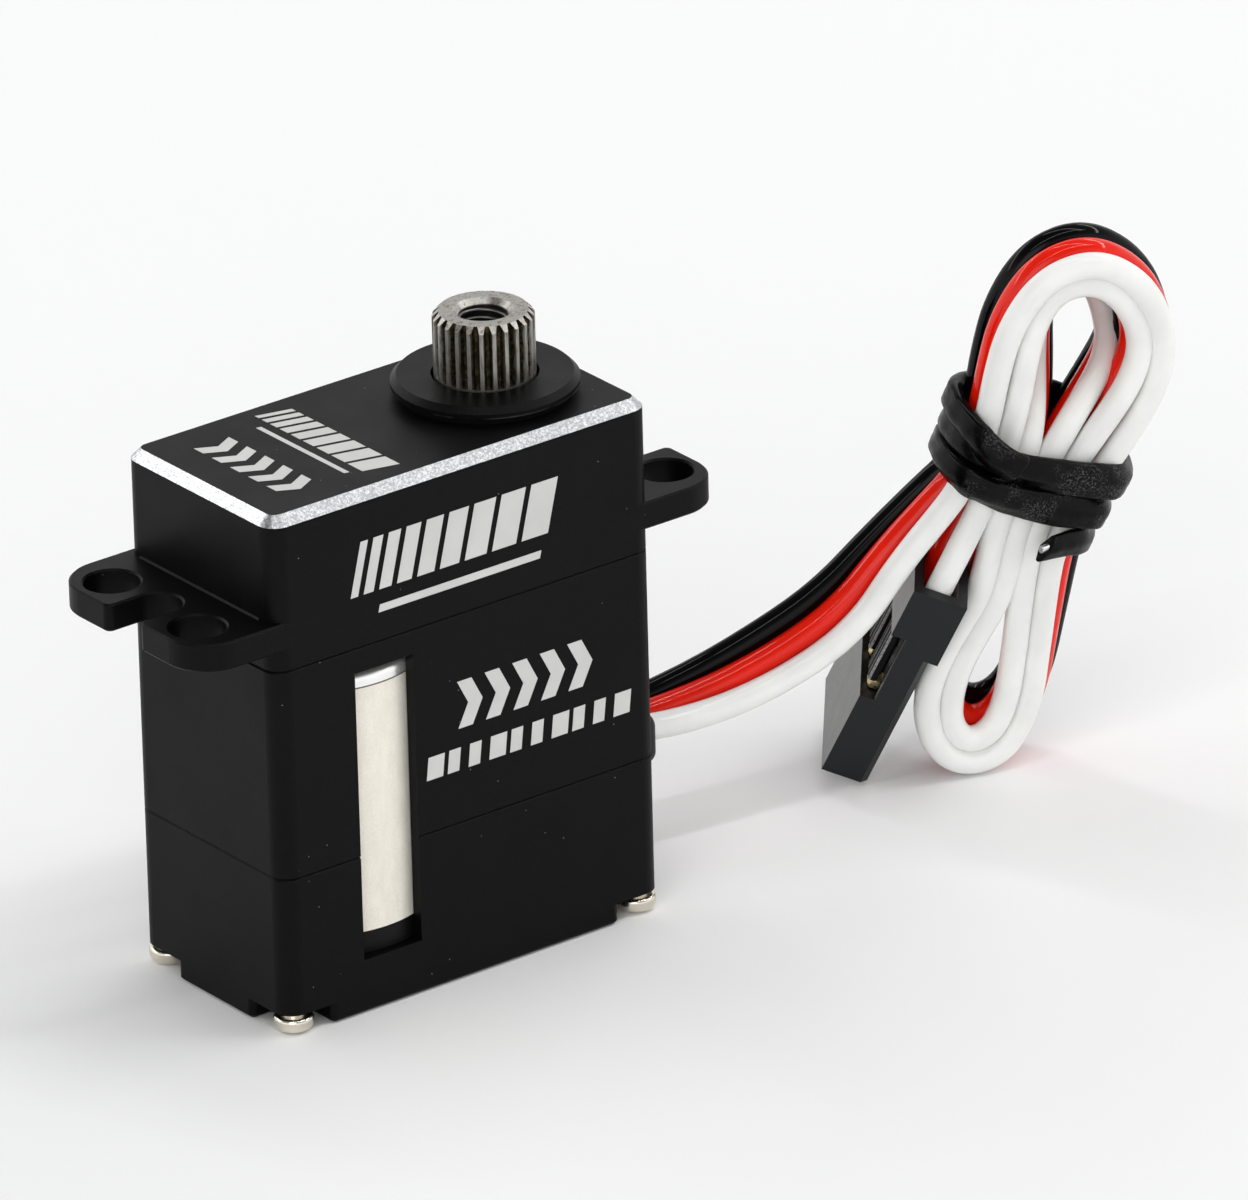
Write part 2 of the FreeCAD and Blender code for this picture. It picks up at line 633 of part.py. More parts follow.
def cable_grommet():
    neck = box(CASE_X / 2 - WALL, CASE_X / 2, -2.2, 2.2, 5.9, BASE_SEAM_Z)
    flange = box(10.1, CASE_X / 2 - WALL, -2.7, 2.7, 5.5, BASE_SEAM_Z)
    boot = box(CASE_X / 2, BOOT_X, -2.55, 2.55, 5.75, 8.45)
    outer = [e for e in boot.Edges if e.BoundBox.XMax - e.BoundBox.XMin > 1]
    boot = boot.makeFillet(0.7, outer)
    rim = [e for e in boot.Edges if e.BoundBox.XMin > BOOT_X - 1e-6]
    boot = boot.makeFillet(0.6, rim)
    body = union([boot, neck, flange])
    bores = [
        Part.makeCylinder(WIRE_R, 6, Vector(9, place * WIRE_PITCH, EXIT_Z), Vector(1, 0, 0))
        for place in (-1, 0, 1)
    ]
    return body.cut(Part.makeCompound(bores))


def hank_frame():
    turn = math.radians(HANK_TURN)
    lean = math.radians(HANK_LEAN)
    along = Vector(math.cos(turn), -math.sin(turn), 0)
    back = Vector(math.sin(turn) * math.cos(lean), math.cos(turn) * math.cos(lean), math.sin(lean))
    return frame_of(Vector(*HANK_AT), along, back, along.cross(back))


def lobe(circles, y0, y1, skew):
    """Slanted prism whose outline is two circles and their outer tangents."""
    (xa, za, ra), (xb, zb, rb) = circles
    distance = math.hypot(xb - xa, zb - za)
    way = math.atan2(zb - za, xb - xa)
    spread = math.acos((ra - rb) / distance)

    def on(circle, angle):
        x, z, r = circle
        return Vector(x + r * math.cos(angle), y0, z + r * math.sin(angle))

    a_right, a_back, a_left = (on(circles[0], way + k) for k in (-spread, math.pi, spread))
    b_right, b_ahead, b_left = (on(circles[1], way + k) for k in (-spread, 0, spread))
    outline = Part.Wire([
        Part.LineSegment(a_right, b_right).toShape(),
        Part.Arc(b_right, b_ahead, b_left).toShape(),
        Part.LineSegment(b_left, a_left).toShape(),
        Part.Arc(a_left, a_back, a_right).toShape(),
    ])
    return Part.Face(outline).extrude(Vector(skew * (y1 - y0), y1 - y0, 0))


def lead_hank():
    """Outer shape of the folded wires: a lower lobe, an upper lobe and the turn behind it."""
    low = lobe(HANK_LOW_LOBE, HANK_FRONT, HANK_BACK, HANK_LOW_SKEW)
    top = lobe(HANK_TOP_LOBE, HANK_FRONT, HANK_BACK, HANK_TOP_SKEW)
    inner = lobe(HANK_INNER_LOBE, HANK_BACK - 1, HANK_INNER_BACK, 0)
    return placed(union([low, top, inner]), hank_frame())


def lead_tie():
    """Band round the waist of the hank."""
    half = TIE_WIDTH / 2
    outer = box(-TIE_HALF, TIE_HALF, HANK_FRONT - TIE_WALL, HANK_BACK + TIE_WALL, -half, half)
    outer = outer.makeFillet(1.6, [e for e in outer.Edges if is_upright(e)])
    inner = box(TIE_WALL - TIE_HALF, TIE_HALF - TIE_WALL, HANK_FRONT, HANK_BACK, -half - 1, half + 1)
    inner = inner.makeFillet(0.9, [e for e in inner.Edges if is_upright(e)])
    band = outer.cut(inner)
    x, z = TIE_AT
    band.Placement = FreeCAD.Placement(Vector(x, 0, z), FreeCAD.Rotation(Vector(0, 1, 0), TIE_SLANT))
    return placed(band, hank_frame())


def plug_frame():
    length_way = Vector(*PLUG_LENGTH_WAY).normalize()
    width_way = Vector(*PLUG_WIDTH_WAY)
    width_way = (width_way - length_way * width_way.dot(length_way)).normalize()
    return frame_of(Vector(*PLUG_AT), width_way, length_way.cross(width_way), length_way)


def pin_places():
    return [PLUG_W / 2 + k * PIN_PITCH for k in (-1, 0, 1)]


def plug_housing():
    """Three-way plug: x across the pins, y through its thickness, z from its mouth to the wires."""
    body = box(0, PLUG_W, 0, PLUG_T, 0, PLUG_L)
    bevels = [e for e in body.Edges if is_upright(e) and e.BoundBox.YMax < 1e-6]
    body = body.makeChamfer(PLUG_BEVEL, bevels)
    body = body.fuse(box(0, PLUG_W, -PLUG_HEAD_STEP, PLUG_T, PLUG_L - PLUG_HEAD_L, PLUG_L))
    low, high = PLUG_WINDOW
    cuts = [box(-1, PLUG_W + 1, PLUG_T - PLUG_WINDOW_DEPTH, PLUG_T + 1, low, high)]
    cuts.append(box(0.6, PLUG_W - 0.6, 0.5 - PLUG_HEAD_STEP, PLUG_T - 0.5, PLUG_L - PLUG_POCKET, PLUG_L + 1))
    for x in pin_places():
        cuts.append(box(x - 0.75, x + 0.75, 0.7, PLUG_T, low, high))
        cuts.append(box(x - 0.5, x + 0.5, 0.8, 1.6, -1, low + 1))
    body = body.cut(Part.makeCompound(cuts))
    latches = [box(x - 0.7, x + 0.7, PLUG_T - 0.55, PLUG_T - 0.1, low + 0.7, high + 0.5) for x in pin_places()]
    latches = [latch.makeChamfer(0.08, latch.Edges) for latch in latches]
    return placed(union([body] + latches), plug_frame())


def plug_contacts():
    low, high = PLUG_WINDOW
    pins = [box(x - 0.5, x + 0.5, 0.8, 1.5, low + 0.1, high - 0.1) for x in pin_places()]
    for x in pin_places():
        lance = box(x - 0.4, x + 0.4, 1.4, 2.2, low + 0.1, low + 0.6)
        pins.append(lance.makeChamfer(0.15, [e for e in lance.Edges if e.BoundBox.YMin > 2.2 - 1e-6]))
    pins = union(pins).Solids
    return placed(Part.makeCompound(pins), plug_frame())


def lead_tail():
    """The three wires from the tie down into the head of the plug."""
    hank = hank_frame()
    plug = plug_frame()
    wires = []
    for place, x in zip((-1, 0, 1), pin_places()):
        high = hank.multVec(Vector(0.6, (place + 1) * WIRE_PITCH, 14.6))
        low = plug.multVec(Vector(x, 1.05, PLUG_L - PLUG_POCKET + 0.4))
        way = low - high
        wires.append(Part.makeCylinder(WIRE_R, way.Length, high, way))
    return Part.makeCompound(wires)


# ---- everything ----
def build():
    save("bottom_cover", bottom_cover())
    save("middle_case", middle_case())
    save("top_case", top_case())
    save("case_screws", Part.makeCompound([case_screw(x, y) for x, y in four(SCREW_X, SCREW_Y)]))
    save("motor_can", motor_can())
    save("motor_end_cap", motor_end_cap())
    save("motor_magnet", motor_magnet())
    save("motor_winding", motor_winding())
    save("motor_commutator", motor_commutator())
    save("motor_brushes", motor_brushes())
    save("motor_terminals", motor_terminals())
    save("motor_bush", tube(MOTOR_X, 0, 16.3, 18.4, 1.0, MOTOR_SHAFT_R + RUN_GAP))
    save("motor_shaft", cylinder(MOTOR_X, 0, 3.0, 21.0, MOTOR_SHAFT_R))
    save("motor_screws", Part.makeCompound([motor_screw(y) for y in (-MOTOR_SCREW_Y, MOTOR_SCREW_Y)]))
    for name, wheel in gear_train().items():
        save(name, wheel)
    save("gear_axle", cylinder(AXLE_X, 0, 18.2, ROOF_Z + 0.5, AXLE_R))
    save("output_shaft", output_shaft())
    save("lower_bush", tube(OUTPUT_X, 0, DECK_Z, TOP_SEAM_Z + 0.14, 1.4, STEM_R + RUN_GAP))
    save("bearing_inner_ring", bearing_race(INNER_RING_R, JOURNAL_R))
    save("bearing_outer_ring", bearing_race(BEARING_R, OUTER_RING_R))
    save("bearing_balls", bearing_balls(BALL_R))
    save("bearing_cage", bearing_cage())
    save("pot_body", pot_body())
    save("pot_wiper", pot_wiper())
    save("pot_leads", pot_leads())
    save("control_board", control_board())
    save("control_chip", board_chips())
    save("power_transistors", board_transistors())
    save("board_capacitor", board_capacitor())
    save("cable_grommet", cable_grommet())
    save("lead_roots", lead_roots())
    for name, place in (("lead_white", -1), ("lead_red", 0), ("lead_black", 1)):
        save(name, bent_tube(wire_route(place), WIRE_R))
    save("lead_hank", lead_hank())
    save("lead_tie", lead_tie())
    save("lead_tail", lead_tail())
    save("plug_housing", plug_housing())
    save("plug_contacts", plug_contacts())


build()
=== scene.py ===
"""Looks for a micro servo motor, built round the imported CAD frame. Metres, +Z up."""
import math

import bmesh
import bpy
from mathutils import Matrix, Vector, noise


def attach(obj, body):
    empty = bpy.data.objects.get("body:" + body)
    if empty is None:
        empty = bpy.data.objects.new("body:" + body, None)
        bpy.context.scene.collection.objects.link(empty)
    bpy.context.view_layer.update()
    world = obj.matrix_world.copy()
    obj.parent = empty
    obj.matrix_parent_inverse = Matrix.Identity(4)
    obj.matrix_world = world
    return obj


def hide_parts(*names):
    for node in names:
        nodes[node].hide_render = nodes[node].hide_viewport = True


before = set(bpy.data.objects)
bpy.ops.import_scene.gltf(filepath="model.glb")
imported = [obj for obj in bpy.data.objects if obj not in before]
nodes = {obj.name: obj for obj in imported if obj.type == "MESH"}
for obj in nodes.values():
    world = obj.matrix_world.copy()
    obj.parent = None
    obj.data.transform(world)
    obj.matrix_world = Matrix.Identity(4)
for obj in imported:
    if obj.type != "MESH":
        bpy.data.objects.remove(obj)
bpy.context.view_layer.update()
MM = 0.001
scene = bpy.context.scene


def mm(x, y, z):
    return Vector((x, y, z)) * MM


# ---------------------------------------------------------------- camera, millimetres
CAMERA_AT = (-437.48, -597.73, 352.02)
CAMERA_RIGHT = Vector((0.7911, -0.6112, -0.0239))
CAMERA_UP = Vector((0.2689, 0.3124, 0.9111))
CAMERA_LENS = 481.4
SENSOR_WIDTH = 36.0


def make_camera():
    data = bpy.data.cameras.new("camera")
    data.lens = CAMERA_LENS
    data.sensor_width = SENSOR_WIDTH
    data.clip_start = 0.05
    data.clip_end = 50.0
    camera = bpy.data.objects.new("camera", data)
    right = CAMERA_RIGHT.normalized()
    up = (CAMERA_UP - right * CAMERA_UP.dot(right)).normalized()
    back = right.cross(up)
    turn = Matrix((right, up, back)).transposed().to_4x4()
    camera.matrix_world = Matrix.Translation(mm(*CAMERA_AT)) @ turn
    scene.collection.objects.link(camera)
    scene.camera = camera


make_camera()

# ---------------------------------------------------------------- node material helpers


class Shader:
    """A node material with its principled shader, and short calls to wire it."""

    def __init__(self, name, color=(0.5, 0.5, 0.5), roughness=0.5, metallic=0.0, specular=0.5):
        self.material = bpy.data.materials.new(name)
        self.material.use_nodes = True
        self.nodes = self.material.node_tree.nodes
        self.links = self.material.node_tree.links
        self.main = self.nodes["Principled BSDF"]
        self.main.inputs["Base Color"].default_value = (*color, 1)
        self.main.inputs["Roughness"].default_value = roughness
        self.main.inputs["Metallic"].default_value = metallic
        self.main.inputs["Specular IOR Level"].default_value = specular
        self.where = self.nodes.new("ShaderNodeTexCoord").outputs["Object"]

    def set(self, **values):
        """Set plain numbers of the principled shader, with underscores for the spaces in its socket names."""
        for name, value in values.items():
            self.main.inputs[name.replace("_", " ")].default_value = value

    def link(self, source, target):
        self.links.new(source, target)

    def feed(self, socket, source):
        self.links.new(source, self.main.inputs[socket])

    def stretched(self, scale):
        node = self.nodes.new("ShaderNodeMapping")
        node.inputs["Scale"].default_value = scale
        self.link(self.where, node.inputs["Vector"])
        return node.outputs["Vector"]

    def noise(self, size, detail, rough, where=None, distort=0.0):
        """Noise whose blobs are about size millimetres across."""
        node = self.nodes.new("ShaderNodeTexNoise")
        node.inputs["Scale"].default_value = 1.0 / (size * MM)
        node.inputs["Detail"].default_value = detail
        node.inputs["Roughness"].default_value = rough
        node.inputs["Distortion"].default_value = distort
        self.link(where or self.where, node.inputs["Vector"])
        return node.outputs["Fac"]

    def cells(self, size):
        """Cells about size millimetres across, each with its own random colour."""
        node = self.nodes.new("ShaderNodeTexVoronoi")
        node.inputs["Scale"].default_value = 1.0 / (size * MM)
        self.link(self.where, node.inputs["Vector"])
        return node

    def span(self, source, low, high, to_low=0.0, to_high=1.0):
        """Map the range from low to high onto to_low to to_high, held at its ends."""
        node = self.nodes.new("ShaderNodeMapRange")
        for name, value in zip(("From Min", "From Max", "To Min", "To Max"), (low, high, to_low, to_high)):
            node.inputs[name].default_value = value
        self.link(source, node.inputs["Value"])
        return node.outputs["Result"]

    def math(self, kind, a, b=None):
        node = self.nodes.new("ShaderNodeMath")
        node.operation = kind
        for slot, value in enumerate((a, b)):
            if value is None:
                continue
            if isinstance(value, (int, float)):
                node.inputs[slot].default_value = value
            else:
                self.link(value, node.inputs[slot])
        return node.outputs["Value"]

    def mix(self, factor, a, b):
        """Blend from a to b, each a colour tuple or a socket."""
        node = self.nodes.new("ShaderNodeMix")
        node.data_type = "RGBA"
        self.link(factor, next(socket for socket in node.inputs if socket.name == "Factor"))
        for name, value in (("A", a), ("B", b)):
            socket = next(each for each in node.inputs if each.name == name and each.type == "RGBA")
            if isinstance(value, tuple):
                socket.default_value = (*value, 1)
            else:
                self.link(value, socket)
        return next(socket for socket in node.outputs if socket.type == "RGBA")

    def product(self, *sources):
        """All the sources multiplied together."""
        result = sources[0]
        for source in sources[1:]:
            result = self.math("MULTIPLY", result, source)
        return result

    def bump(self, source, strength, depth):
        """Bump of about depth millimetres, added to any bump already there."""
        node = self.nodes.new("ShaderNodeBump")
        node.inputs["Strength"].default_value = strength
        node.inputs["Distance"].default_value = depth * MM
        self.link(source, node.inputs["Height"])
        before = self.main.inputs["Normal"].links
        if before:
            self.link(before[0].from_socket, node.inputs["Normal"])
        self.feed("Normal", node.outputs["Normal"])

    def axis(self, which, source=None):
        node = self.nodes.new("ShaderNodeSeparateXYZ")
        self.link(source or self.where, node.inputs["Vector"])
        return node.outputs[which]

    def dot(self, source, way):
        """How far the vector points along a fixed way."""
        node = self.nodes.new("ShaderNodeVectorMath")
        node.operation = "DOT_PRODUCT"
        node.inputs[1].default_value = way
        self.link(source, node.inputs[0])
        return node.outputs["Value"]

    def along_way(self, way, start):
        """Distance of the shaded point from start, in millimetres, along a fixed way, in metres."""
        return self.math("SUBTRACT", self.dot(self.where, way), start.dot(way) * MM)

    def between(self, source, low, high, unit=MM):
        """One where the source lies between low and high, given in millimetres unless unit says else."""
        above = self.math("GREATER_THAN", source, low * unit)
        return self.math("MULTIPLY", above, self.math("LESS_THAN", source, high * unit))

    def normal(self):
        return self.nodes.new("ShaderNodeNewGeometry").outputs["True Normal"]

    def facing(self, which):
        """One axis of the surface's true normal."""
        return self.axis(which, self.normal())

    def from_output(self):
        """Distance of the shaded point from the output shaft's axis, in metres."""
        aside = self.math("SUBTRACT", self.axis("X"), OUTPUT_X * MM)
        ahead = self.axis("Y")
        square = self.math("ADD", self.math("MULTIPLY", aside, aside), self.math("MULTIPLY", ahead, ahead))
        return self.math("SQRT", square)


def dress(shader, *names):
    """Give CAD nodes this material alone."""
    for name in names:
        slots = nodes[name].data.materials
        slots.clear()
        slots.append(shader.material)


# ---------------------------------------------------------------- where the plug stands, millimetres
PLUG_AT = Vector((28.0, -1.33, 0.02))
PLUG_LENGTH_WAY = Vector((0.172, -0.417, 0.892)).normalized()
PLUG_WIDTH_WAY = Vector((0.63, 0.743, 0.226))
PLUG_WIDTH_WAY = (PLUG_WIDTH_WAY - PLUG_LENGTH_WAY * PLUG_WIDTH_WAY.dot(PLUG_LENGTH_WAY)).normalized()
PLUG_THICK_WAY = PLUG_LENGTH_WAY.cross(PLUG_WIDTH_WAY)
PLUG_W = 7.4
PLUG_L = 12.2
PLUG_T = 2.45
WINDOW_START = 5.1
WINDOW_END = 9.7
CONTACT_GILT_END = 5.72
WINDOW_SIDE = 0.3           # wall beside the windows
WINDOW_FLOOR = 0.6
WINDOW_RIM = 0.04
# Depth below the plug's face of the painted highlight lines along the window edges.
EDGE_GLINT_DEPTH = 0.22
PIN_PITCH = 2.54
PIN_THROUGH = 1.05
PIN_DEPTH = 2.0             # how far a wire runs into the plug


def in_plug(across, through, along):
    """A point given in the plug's own directions, in millimetres."""
    return PLUG_AT + PLUG_WIDTH_WAY * across + PLUG_THICK_WAY * through + PLUG_LENGTH_WAY * along


# ---------------------------------------------------------------- heights and places on the case, millimetres
OUTPUT_X = 6.0
BOSS_R = 4.65
BOSS_NECK_Z = 27.85
# Height of the can's shoulder, with a thin dark line at its foot.
CAN_SHOULDER_Z = 17.0
FRONT_Y = -6.0
TOP_Z = 27.45
BARE_EDGE_LOW_Z = 26.93
BARE_EDGE_HIGH_Z = 27.47
TOOTH_ROOT_R = 2.24
TOOTH_TIP_R = 2.5
TOOTH_INNER_R = 2.0
SHAFT_HOLE_R = 1.23
RUST_FROM_Z = 31.2

# ---------------------------------------------------------------- materials
BLACK = (0.0015, 0.0015, 0.0017)


def anodised(name, bare_edge=False):
    """Bead-blasted black anodising with a few specks of dust; if asked, bare metal along the top edge and a
    thin painted highlight ring round the foot of the boss.
    """
    s = Shader(name, BLACK, 0.4, 0.0, 0.1)
    grain = s.noise(0.09, 2, 0.6)
    cloud = s.noise(4.0, 3, 0.6)
    tone = s.mix(s.span(cloud, 0.35, 0.65), (0.0010, 0.0010, 0.0012), (0.0019, 0.0019, 0.0021))
    tone = s.mix(s.span(grain, 0.45, 0.75, 0, 0.6), tone, (0.0036, 0.0037, 0.0040))
    specks = s.cells(0.55)
    lone = s.math("LESS_THAN", specks.outputs["Distance"], 0.055)
    chosen = s.math("GREATER_THAN", s.axis("X", specks.outputs["Color"]), 0.86)
    dust = s.math("MULTIPLY", lone, chosen)
    tone = s.mix(s.math("MULTIPLY", dust, 0.6), tone, (0.32, 0.32, 0.31))
    rough = s.span(cloud, 0.3, 0.7, 0.38, 0.48)
    s.feed("Base Color", tone)
    s.feed("Roughness", rough)
    s.bump(grain, 0.25, 0.02)
    if bare_edge:
        height = s.axis("Z")
        # A thin lighter ring round the foot of the boss is a painted highlight line.
        rim = s.between(s.from_output(), BOSS_R - 0.03, BOSS_R + 0.03)
        lip = s.between(height, BOSS_NECK_Z - 0.02, BOSS_NECK_Z + 0.07)
        ring = s.product(rim, lip, s.span(cloud, 0.45, 0.6))
        tone = s.mix(ring, tone, (0.05, 0.05, 0.05))
        at_edge = s.between(height, BARE_EDGE_LOW_Z, BARE_EDGE_HIGH_Z)
        bare = s.product(at_edge, s.between(s.facing("Z"), 0.5, 0.9, 1.0))
        brushed = s.noise(0.5, 4, 0.7, s.stretched((0.2, 0.2, 6.0)))
        pits = s.noise(0.12, 4, 0.8)
        silver = s.mix(s.span(brushed, 0.3, 0.7), (0.70, 0.72, 0.74), (0.95, 0.95, 0.95))
        silver = s.mix(s.span(pits, 0.46, 0.56, 0.0, 0.75), silver, (0.28, 0.29, 0.31))
        sides = s.math("GREATER_THAN", s.math("ABSOLUTE", s.facing("Y")), 0.3)
        dull = s.product(sides, s.span(pits, 0.38, 0.55, 0.35, 0.8))
        silver = s.mix(dull, silver, (0.30, 0.31, 0.32))
        s.feed("Base Color", s.mix(bare, tone, silver))
        s.feed("Metallic", bare)
        s.feed("Roughness", s.mix(bare, rough, (0.33, 0.33, 0.33)))
    return s


def metal(name, color, roughness, grain=0.05, depth=0.004, stain=None):
    """Plain metal with a faint grain, stained in patches if a stain colour is given."""
    s = Shader(name, color, roughness, 1.0)
    fine = s.noise(grain, 3, 0.6)
    broad = s.noise(1.5, 4, 0.6)
    dark = tuple(c * 0.78 for c in color)
    tone = s.mix(s.span(broad, 0.3, 0.7), dark, color)
    if stain:
        patch = s.span(s.noise(0.8, 5, 0.7), 0.56, 0.7)
        tone = s.mix(patch, tone, stain)
    s.feed("Base Color", tone)
    s.feed("Roughness", s.span(fine, 0.3, 0.7, roughness * 0.8, roughness * 1.25))
    s.bump(fine, 0.3, depth)
    return s


def satin_can():
    """Warm satin nickel of the motor can; above a thin dark line the shoulder is smoother and more metallic,
    and painted near white as a painted highlight.
    """
    s = Shader("nickel_can", (0.90, 0.86, 0.77), 0.6, 0.4)
    grain = s.noise(0.1, 4, 0.7)
    drawn = s.noise(0.45, 4, 0.6, s.stretched((1.0, 1.0, 0.3)))
    tone = s.mix(s.span(drawn, 0.3, 0.7), (0.87, 0.83, 0.74), (0.95, 0.91, 0.82))
    tone = s.mix(s.span(grain, 0.4, 0.72, 0.0, 0.5), tone, (0.74, 0.69, 0.59))
    level = s.axis("Z")
    shoulder = s.math("GREATER_THAN", level, CAN_SHOULDER_Z * MM)
    # The shoulder's near-white colour is a painted highlight.
    tone = s.mix(shoulder, tone, (0.99, 0.99, 0.97))
    tone = s.mix(s.between(level, CAN_SHOULDER_Z - 0.05, CAN_SHOULDER_Z + 0.03), tone, (0.16, 0.15, 0.13))
    s.feed("Base Color", tone)
    s.feed("Metallic", s.span(shoulder, 0.0, 1.0, 0.4, 0.8))
    s.feed("Roughness", s.span(shoulder, 0.0, 1.0, 0.6, 0.3))
    s.bump(grain, 0.35, 0.006)
    return s


def plastic(name, color, roughness, grain=0.2, depth=0.01, specular=0.4, variation=0.15):
    """Moulded plastic with a faint grain and slow changes of tone."""
    s = Shader(name, color, roughness, 0.0, specular)
    fine = s.noise(grain, 3, 0.6)
    broad = s.noise(3.0, 3, 0.5)
    dark = tuple(c * (1 - variation) for c in color)
    s.feed("Base Color", s.mix(s.span(broad, 0.3, 0.7), dark, color))
    s.feed("Roughness", s.span(fine, 0.3, 0.7, roughness * 0.88, roughness * 1.12))
    s.bump(fine, 0.2, depth)
    return s


def insulation(name, color, roughness, specular, coat):
    """Glossy, slightly uneven skin of a wire."""
    s = Shader(name, color, roughness, 0.0, specular)
    broad = s.noise(2.5, 3, 0.5)
    dark = tuple(c * 0.93 for c in color)
    s.feed("Base Color", s.mix(s.span(broad, 0.35, 0.65), dark, color))
    s.set(Coat_Weight=coat, Coat_Roughness=0.07)
    s.bump(s.noise(1.2, 2, 0.4), 0.2, 0.02)
    return s


def tooth_steel():
    """The output shaft: bright worn tooth tips, painted shade deepening into the valleys mixed with dark
    grease, painted shade in the screw hole, a little rust.
    """
    s = Shader("tooth_steel", (0.4, 0.4, 0.38), 0.36, 1.0)
    reach = s.from_output()
    speck = s.noise(0.25, 5, 0.75)
    streak = s.noise(0.5, 4, 0.7, s.stretched((4.0, 4.0, 0.5)))
    depth = s.span(reach, TOOTH_ROOT_R * MM, TOOTH_TIP_R * MM, 1.0, 0.0)
    outside = s.math("GREATER_THAN", reach, TOOTH_INNER_R * MM)
    on_teeth = s.product(outside, s.math("LESS_THAN", s.facing("Z"), 0.5))
    # Darker the deeper into the valleys: painted shade, with streaks of grease laid over it.
    valley_shade_and_grease = s.math("ADD", s.math("MULTIPLY", depth, 1.5), s.span(streak, 0.42, 0.62, 0, 0.6))
    valley_shade_and_grime = s.math("MINIMUM", s.product(valley_shade_and_grease, on_teeth), 1.0)
    in_hole = s.math("LESS_THAN", reach, SHAFT_HOLE_R * MM)
    rust = s.product(s.span(speck, 0.55, 0.6), s.math("GREATER_THAN", s.axis("Z"), RUST_FROM_Z * MM))
    tone = s.mix(s.span(streak, 0.35, 0.65), (0.33, 0.325, 0.30), (0.47, 0.46, 0.43))
    shade_and_oil_tone = s.mix(s.span(speck, 0.45, 0.6), (0.018, 0.016, 0.010), (0.085, 0.068, 0.035))
    tone = s.mix(valley_shade_and_grime, tone, shade_and_oil_tone)
    tone = s.mix(s.math("MULTIPLY", rust, 0.7), tone, (0.15, 0.05, 0.02))
    # The screw hole is painted near black: painted shade inside it.
    tone = s.mix(s.math("MULTIPLY", in_hole, 0.85), tone, (0.03, 0.03, 0.03))
    s.feed("Base Color", tone)
    s.feed("Roughness", s.span(valley_shade_and_grime, 0.0, 1.0, 0.36, 0.6))
    s.bump(speck, 0.3, 0.01)
    return s


def tie_pvc():
    """Black vinyl of the twist tie, creased across and painted a little darker in its creases as painted
    shade, a little glossy, with grey painted sheen in patches.
    """
    s = Shader("tie_pvc", (0.001, 0.001, 0.001), 0.34, 0.0, 0.05)
    crease = s.noise(0.7, 4, 0.65, s.stretched((1.0, 1.0, 1.6)), 0.6)
    fine = s.noise(0.16, 3, 0.6)
    # A little darker down in the creases: painted shade.
    tone = s.mix(s.span(crease, 0.4, 0.7), (0.0007, 0.0007, 0.0009), (0.0024, 0.0024, 0.0027))
    # Grey patches of fine grain are painted sheen.
    grain = s.span(s.noise(0.11, 2, 0.7), 0.5, 0.68)
    patch = s.span(s.noise(2.4, 2, 0.5), 0.5, 0.62)
    painted_sheen = s.math("MULTIPLY", grain, patch)
    s.feed("Base Color", s.mix(painted_sheen, tone, (0.075, 0.075, 0.078)))
    s.feed("Roughness", s.span(crease, 0.35, 0.65, 0.26, 0.42))
    s.set(Coat_Weight=0.14, Coat_Roughness=0.14)
    s.bump(crease, 0.5, 0.07)
    s.bump(fine, 0.35, 0.02)
    return s


def plug_moulding():
    """Dark plug plastic: painted sheen on its broad sides, painted shade in the latch windows, with painted
    highlight lines along their edges.
    """
    s = Shader("plug_plastic", (0.004, 0.005, 0.006), 0.36, 0.0, 0.28)
    fine = s.noise(0.12, 4, 0.65)
    broad = s.noise(1.2, 4, 0.6)
    across = s.along_way(PLUG_WIDTH_WAY, PLUG_AT)
    through = s.along_way(PLUG_THICK_WAY, PLUG_AT)
    along = s.along_way(PLUG_LENGTH_WAY, PLUG_AT)
    # The broad sides are painted paler: painted sheen.
    side = s.math("ABSOLUTE", s.dot(s.normal(), PLUG_THICK_WAY))
    painted_side_sheen = s.product(s.math("GREATER_THAN", side, 0.9), s.span(broad, 0.3, 0.7, 0.75, 1.0))
    tone = s.mix(s.span(fine, 0.35, 0.7), (0.0045, 0.0058, 0.0068), (0.0075, 0.009, 0.010))
    tone = s.mix(painted_side_sheen, tone, (0.155, 0.155, 0.152))
    # Faces in the latch windows are painted near black: painted shade in the recess.
    deep = s.between(through, WINDOW_FLOOR, PLUG_T - WINDOW_RIM)
    wide = s.between(across, WINDOW_SIDE, PLUG_W - WINDOW_SIDE)
    window = s.product(deep, wide, s.between(along, WINDOW_START, WINDOW_END))
    tone = s.mix(window, tone, (0.0015, 0.0015, 0.0015))
    # Thin grey lines along the window edges at each pin are painted highlights.
    shifted = s.math("SUBTRACT", across, (PLUG_W / 2 - PIN_PITCH * 5.5) * MM)
    in_pitch = s.math("FLOORED_MODULO", s.math("MULTIPLY", shifted, 1.0 / MM), PIN_PITCH)
    from_pin = s.math("ABSOLUTE", s.math("SUBTRACT", in_pitch, PIN_PITCH / 2))
    lines = s.math("ADD", s.between(from_pin, 0.58, 0.70, 1.0), s.between(from_pin, 0.22, 0.30, 1.0))
    rim = s.between(through, PLUG_T - EDGE_GLINT_DEPTH, PLUG_T - WINDOW_RIM)
    painted_edge_glints = s.product(window, lines, rim, s.span(fine, 0.4, 0.6, 0.4, 1.0))
    tone = s.mix(painted_edge_glints, tone, (0.33, 0.33, 0.33))
    s.feed("Base Color", tone)
    s.feed("Roughness", s.mix(window, s.span(fine, 0.3, 0.7, 0.32, 0.42), (0.95, 0.95, 0.95)))
    s.bump(fine, 0.3, 0.015)
    return s


